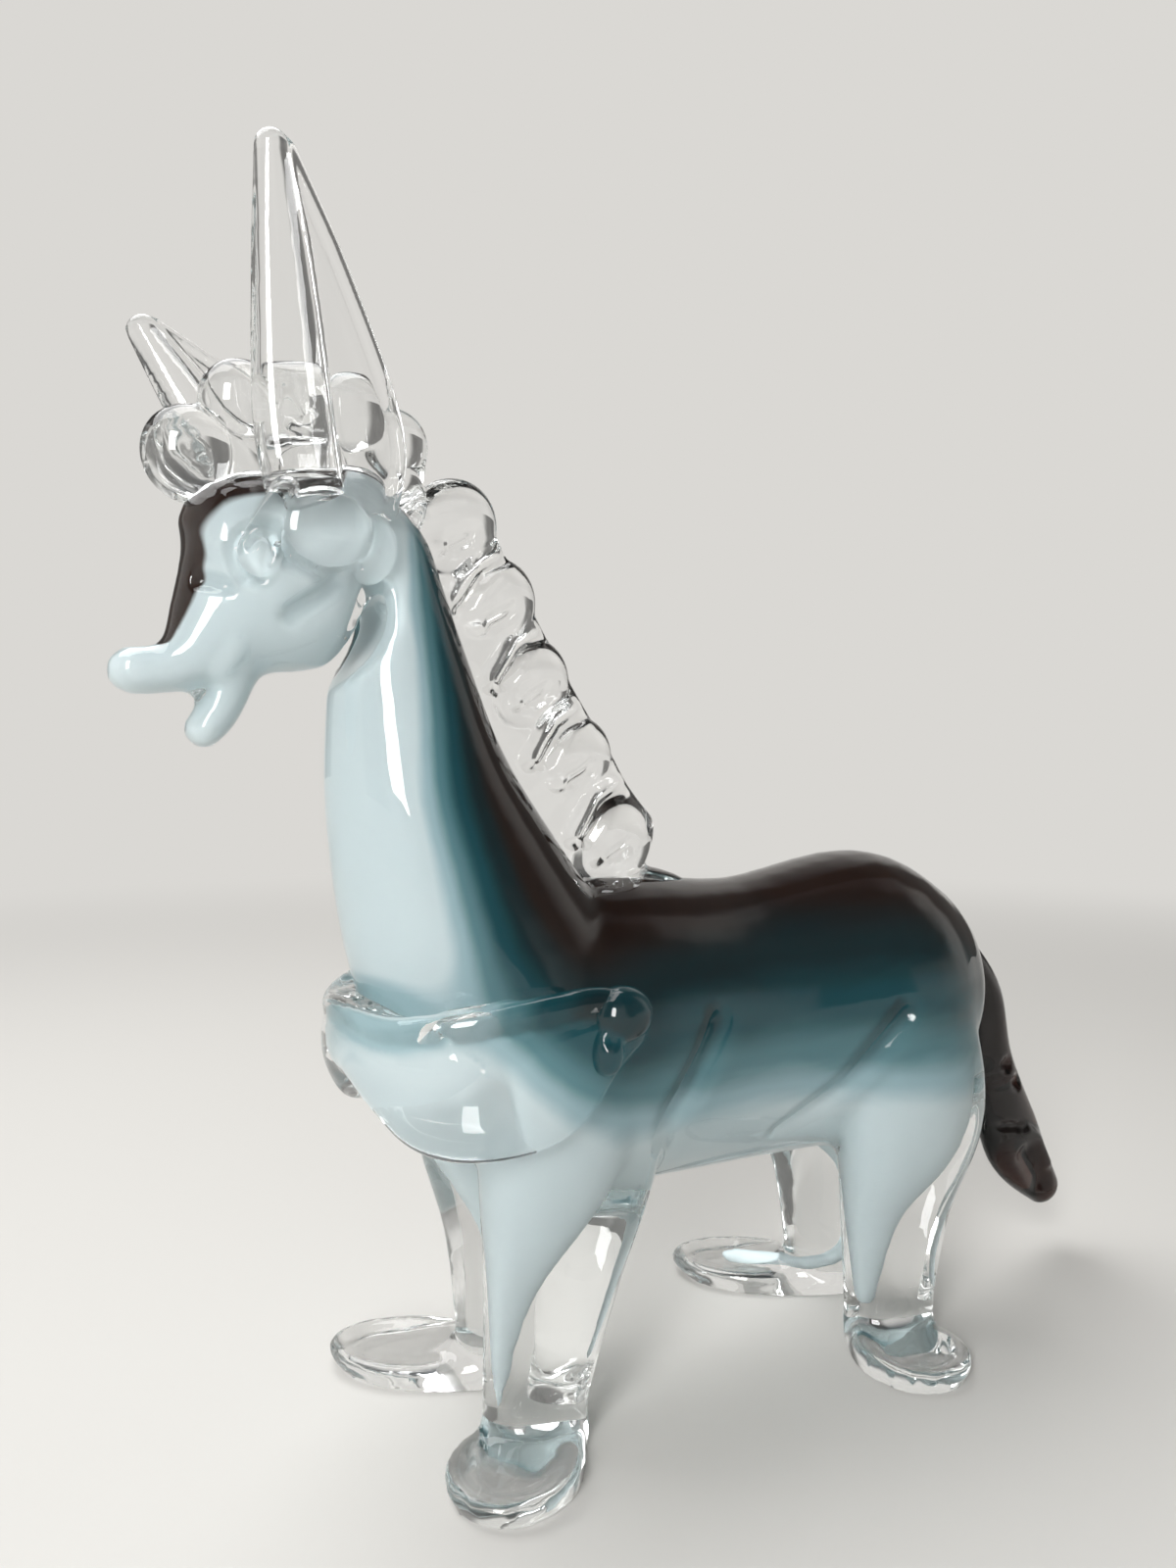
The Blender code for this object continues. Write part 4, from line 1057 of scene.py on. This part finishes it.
class GLASSHORSE_OT_forelock(bpy.types.Operator):
    """Lay a short crimped bit over the poll, its front lobe hanging before the brow"""

    bl_idname = "glass_horse.forelock"
    bl_label = "Forelock"

    def execute(self, context):
        sizes = context.scene.glass_horse.sizes
        bm = bmesh.new()
        middles = [middle for middle, _ in FORELOCK]
        web(bm, [BROW, CROWN, NAPE], middles, FORELOCK_WEB)
        for index, (middle, radius) in enumerate(FORELOCK):
            lean = Vector((LEAN_FIRST + LEAN_STEP * index, 0, 1.0))
            blob(bm, middle, (radius, radius * LOCK_WIDTH, radius * LOCK_THICK), lean)
        blob(bm, *NAPE_DROP)
        lock = melt("glass_forelock", bm, sizes.bit_grain, flow=7)
        applied(lock, clear_glass(), "clear_glass", "forelock")
        return {"FINISHED"}


class GLASSHORSE_OT_collar(bpy.types.Operator):
    """Wrap a crescent of clear glass round the chest and fold its ends over"""

    bl_idname = "glass_horse.collar"
    bl_label = "Collar"

    def execute(self, context):
        sizes = context.scene.glass_horse.sizes
        band = [(section, out.normalized()) for section, out in COLLAR]
        turned = Vector((1, -1, 1))
        band += [(section._replace(y=-section.y), out * turned) for section, out in band[-2::-1]]
        bm = bmesh.new()
        loft(bm, [section for section, _ in band], across=UP, sides=32, steps=6)
        lip = []
        for section, out in band:
            spot = centre(section) + out * COLLAR_FLARE + UP * (section.width - COLLAR_LIP)
            lip.append(Section(*spot, COLLAR_LIP, COLLAR_LIP))
        loft(bm, lip, across=UP, sides=20, steps=6)
        collar = melt("glass_collar", bm, sizes.collar_grain, flow=4)
        joined(worked(collar, both_sides(COLLAR_FOLDS)), "collar")
        bm = bmesh.new()
        blob_pairs(bm, COLLAR_KNOB)
        knobs = melt("collar_knobs", bm, sizes.bit_grain, flow=4)
        joined(worked(knobs, both_sides(KNOB_PINCHES)))
        return {"FINISHED"}


class GLASSHORSE_OT_tail(bpy.types.Operator):
    """Lay the smoke tail on the rump and pinch it out to a paddle"""

    bl_idname = "glass_horse.tail"
    bl_label = "Tail"

    def execute(self, context):
        sizes = context.scene.glass_horse.sizes
        bm = bmesh.new()
        loft(bm, TAIL, steps=8)
        tail = melt("glass_tail", bm, sizes.bit_grain, flow=5)
        worked(tail, [*TAIL_NICKS, *both_sides(TAIL_MARKS)])
        applied(tail, smoke_glass(), "smoke_glass", "tail")
        return {"FINISHED"}


class GLASSHORSE_OT_stage(bpy.types.Operator):
    """Set the horse on pale paper under soft light, seen as in the photograph"""

    bl_idname = "glass_horse.stage"
    bl_label = "Stage"

    def execute(self, context):
        self.paper()
        self.air(context.scene)
        for name, lamp in LAMPS.items():
            self.lamp(name, *lamp)
        self.camera(context.scene)
        context.scene.view_settings.view_transform = "Standard"
        # Light passes many times between the fused layers of glass and the opal
        context.scene.cycles.max_bounces = 32
        context.scene.cycles.glossy_bounces = 16
        context.scene.cycles.transmission_bounces = 32
        context.scene.cycles.diffuse_bounces = 8
        return {"FINISHED"}

    def paper(self):
        """A round sheet of pale paper that fades into the background."""
        bm = bmesh.new()
        bmesh.ops.create_circle(bm, cap_ends=True, segments=96, radius=FLOOR_RADIUS,
                                matrix=Matrix.Translation((0, 0, -FLOOR_DROP)))
        floor = solid("paper_floor", bm)
        floor.data.materials.append(self.paper_material())

    def paper_material(self):
        """Matt paper, lit near the horse and plain background further off."""
        sweep = bpy.context.scene.glass_horse.colours.sweep
        material, tree = blank("matt paper")
        place = node(tree, "ShaderNodeTexCoord")
        away = node(tree, "ShaderNodeVectorMath", {0: place.outputs["Object"]}, operation="LENGTH")
        fade = node(tree, "ShaderNodeMapRange",
                    {"Value": away.outputs["Value"], "From Min": 0.35, "From Max": 1.3},
                    interpolation_type="SMOOTHSTEP")
        matt = node(tree, "ShaderNodeBsdfDiffuse", {"Color": sweep})
        far = node(tree, "ShaderNodeEmission", {"Color": sweep, "Strength": 1.0})
        mix = node(tree, "ShaderNodeMixShader", {0: fade, 1: matt, 2: far})
        node(tree, "ShaderNodeOutputMaterial", {"Surface": mix})
        return material

    def air(self, scene):
        """A room that is pale round the horizon and dim overhead, so that glass shows its edges."""
        sweep = scene.glass_horse.colours.sweep
        world = bpy.data.worlds.new("studio")
        scene.world = world
        world.use_nodes = True
        tree = world.node_tree
        tree.nodes.clear()
        place = node(tree, "ShaderNodeTexCoord")
        axes = node(tree, "ShaderNodeSeparateXYZ", {"Vector": place.outputs["Generated"]})
        ramp = node(tree, "ShaderNodeValToRGB", {"Fac": axes.outputs["Z"]})
        stops = ((0.56, sweep), (0.86, linear(CEILING)))
        for stop, (height, tint) in zip(ramp.color_ramp.elements, stops):
            stop.position = height
            stop.color = tint
        # Darker panels stand between the pale walls; the camera itself sees plain walls
        turn = node(tree, "ShaderNodeMath", {0: axes.outputs["X"], 1: axes.outputs["Y"]},
                    operation="ARCTAN2")
        swing = node(tree, "ShaderNodeMath",
                     {0: turn, 1: PANELS, 2: math.radians(-PANELS * LOOK_ROUND)},
                     operation="MULTIPLY_ADD")
        wave = node(tree, "ShaderNodeMath", {0: swing}, operation="COSINE")
        panel = node(tree, "ShaderNodeMapRange",
                     {"Value": wave, "From Min": -0.35, "From Max": -0.85, "To Min": 1.0,
                      "To Max": PANEL_DIM}, interpolation_type="SMOOTHSTEP")
        # A wide dark screen to the right behind the camera, fading out toward its foot, keeps the
        # flank from mirroring pale walls
        aside = node(tree, "ShaderNodeMath", {0: turn, 1: math.radians(SCREEN_ROUND)},
                     operation="SUBTRACT")
        facing = node(tree, "ShaderNodeMath", {0: aside}, operation="COSINE")
        screen = node(tree, "ShaderNodeMapRange",
                      {"Value": facing, "From Min": 0.70, "From Max": 0.88, "To Min": 1.0,
                       "To Max": PANEL_DIM}, interpolation_type="SMOOTHSTEP")
        rising = node(tree, "ShaderNodeMapRange",
                      {"Value": axes.outputs["Z"], "From Max": SCREEN_FOOT, "To Min": 1.0,
                       "To Max": screen}, interpolation_type="SMOOTHSTEP")
        dim = node(tree, "ShaderNodeMath", {0: panel, 1: rising}, operation="MINIMUM")
        path = node(tree, "ShaderNodeLightPath")
        strength = node(tree, "ShaderNodeMath", {0: dim, 1: path.outputs["Is Camera Ray"]},
                        operation="MAXIMUM")
        back = node(tree, "ShaderNodeBackground", {"Color": ramp, "Strength": strength})
        node(tree, "ShaderNodeOutputWorld", {"Surface": back})

    def lamp(self, name, spot, target, size, watts):
        """A soft rectangular lamp that faces a target."""
        light = bpy.data.lights.new(name, "AREA")
        light.shape = "RECTANGLE"
        light.size, light.size_y = size
        light.energy = watts
        obj = bpy.data.objects.new(name, light)
        bpy.context.scene.collection.objects.link(obj)
        obj.location = spot
        obj.rotation_euler = (Vector(target) - Vector(spot)).to_track_quat("-Z", "Y").to_euler()

    def camera(self, scene):
        """The photograph's viewpoint."""
        lens = bpy.data.cameras.new("photograph")
        lens.lens = LENS
        lens.clip_start = 0.01
        obj = bpy.data.objects.new("photograph", lens)
        scene.collection.objects.link(obj)
        obj.location = EYE_POINT
        obj.rotation_euler = (math.radians(90 - LOOK_DOWN), 0, math.radians(-LOOK_ROUND))
        scene.camera = obj


class GLASSHORSE_PT_panel(bpy.types.Panel):
    """Sizes, colours and steps of the glass horse"""

    bl_idname = "GLASSHORSE_PT_panel"
    bl_label = "Glass horse"
    bl_space_type = "VIEW_3D"
    bl_region_type = "UI"
    bl_category = "Glass horse"

    def draw(self, context):
        settings = context.scene.glass_horse
        for group in (settings.sizes, settings.colours):
            for name in group.__annotations__:
                self.layout.prop(group, name)
        for step in STEPS:
            self.layout.operator(step.bl_idname)


STEPS = (GLASSHORSE_OT_core, GLASSHORSE_OT_body, GLASSHORSE_OT_eyes, GLASSHORSE_OT_ears,
         GLASSHORSE_OT_mane, GLASSHORSE_OT_forelock, GLASSHORSE_OT_collar, GLASSHORSE_OT_tail,
         GLASSHORSE_OT_stage)
CLASSES = (GlassHorseSizes, GlassHorseColours, GlassHorseSettings, *STEPS, GLASSHORSE_PT_panel)


def register():
    for item in CLASSES:
        bpy.utils.register_class(item)
    bpy.types.Scene.glass_horse = PointerProperty(type=GlassHorseSettings)


def unregister():
    del bpy.types.Scene.glass_horse
    for item in reversed(CLASSES):
        bpy.utils.unregister_class(item)


def main():
    """Model every piece."""
    register()
    for step in STEPS:
        group, name = step.bl_idname.split(".")
        getattr(getattr(bpy.ops, group), name)()


if __name__ == "__main__":
    main()
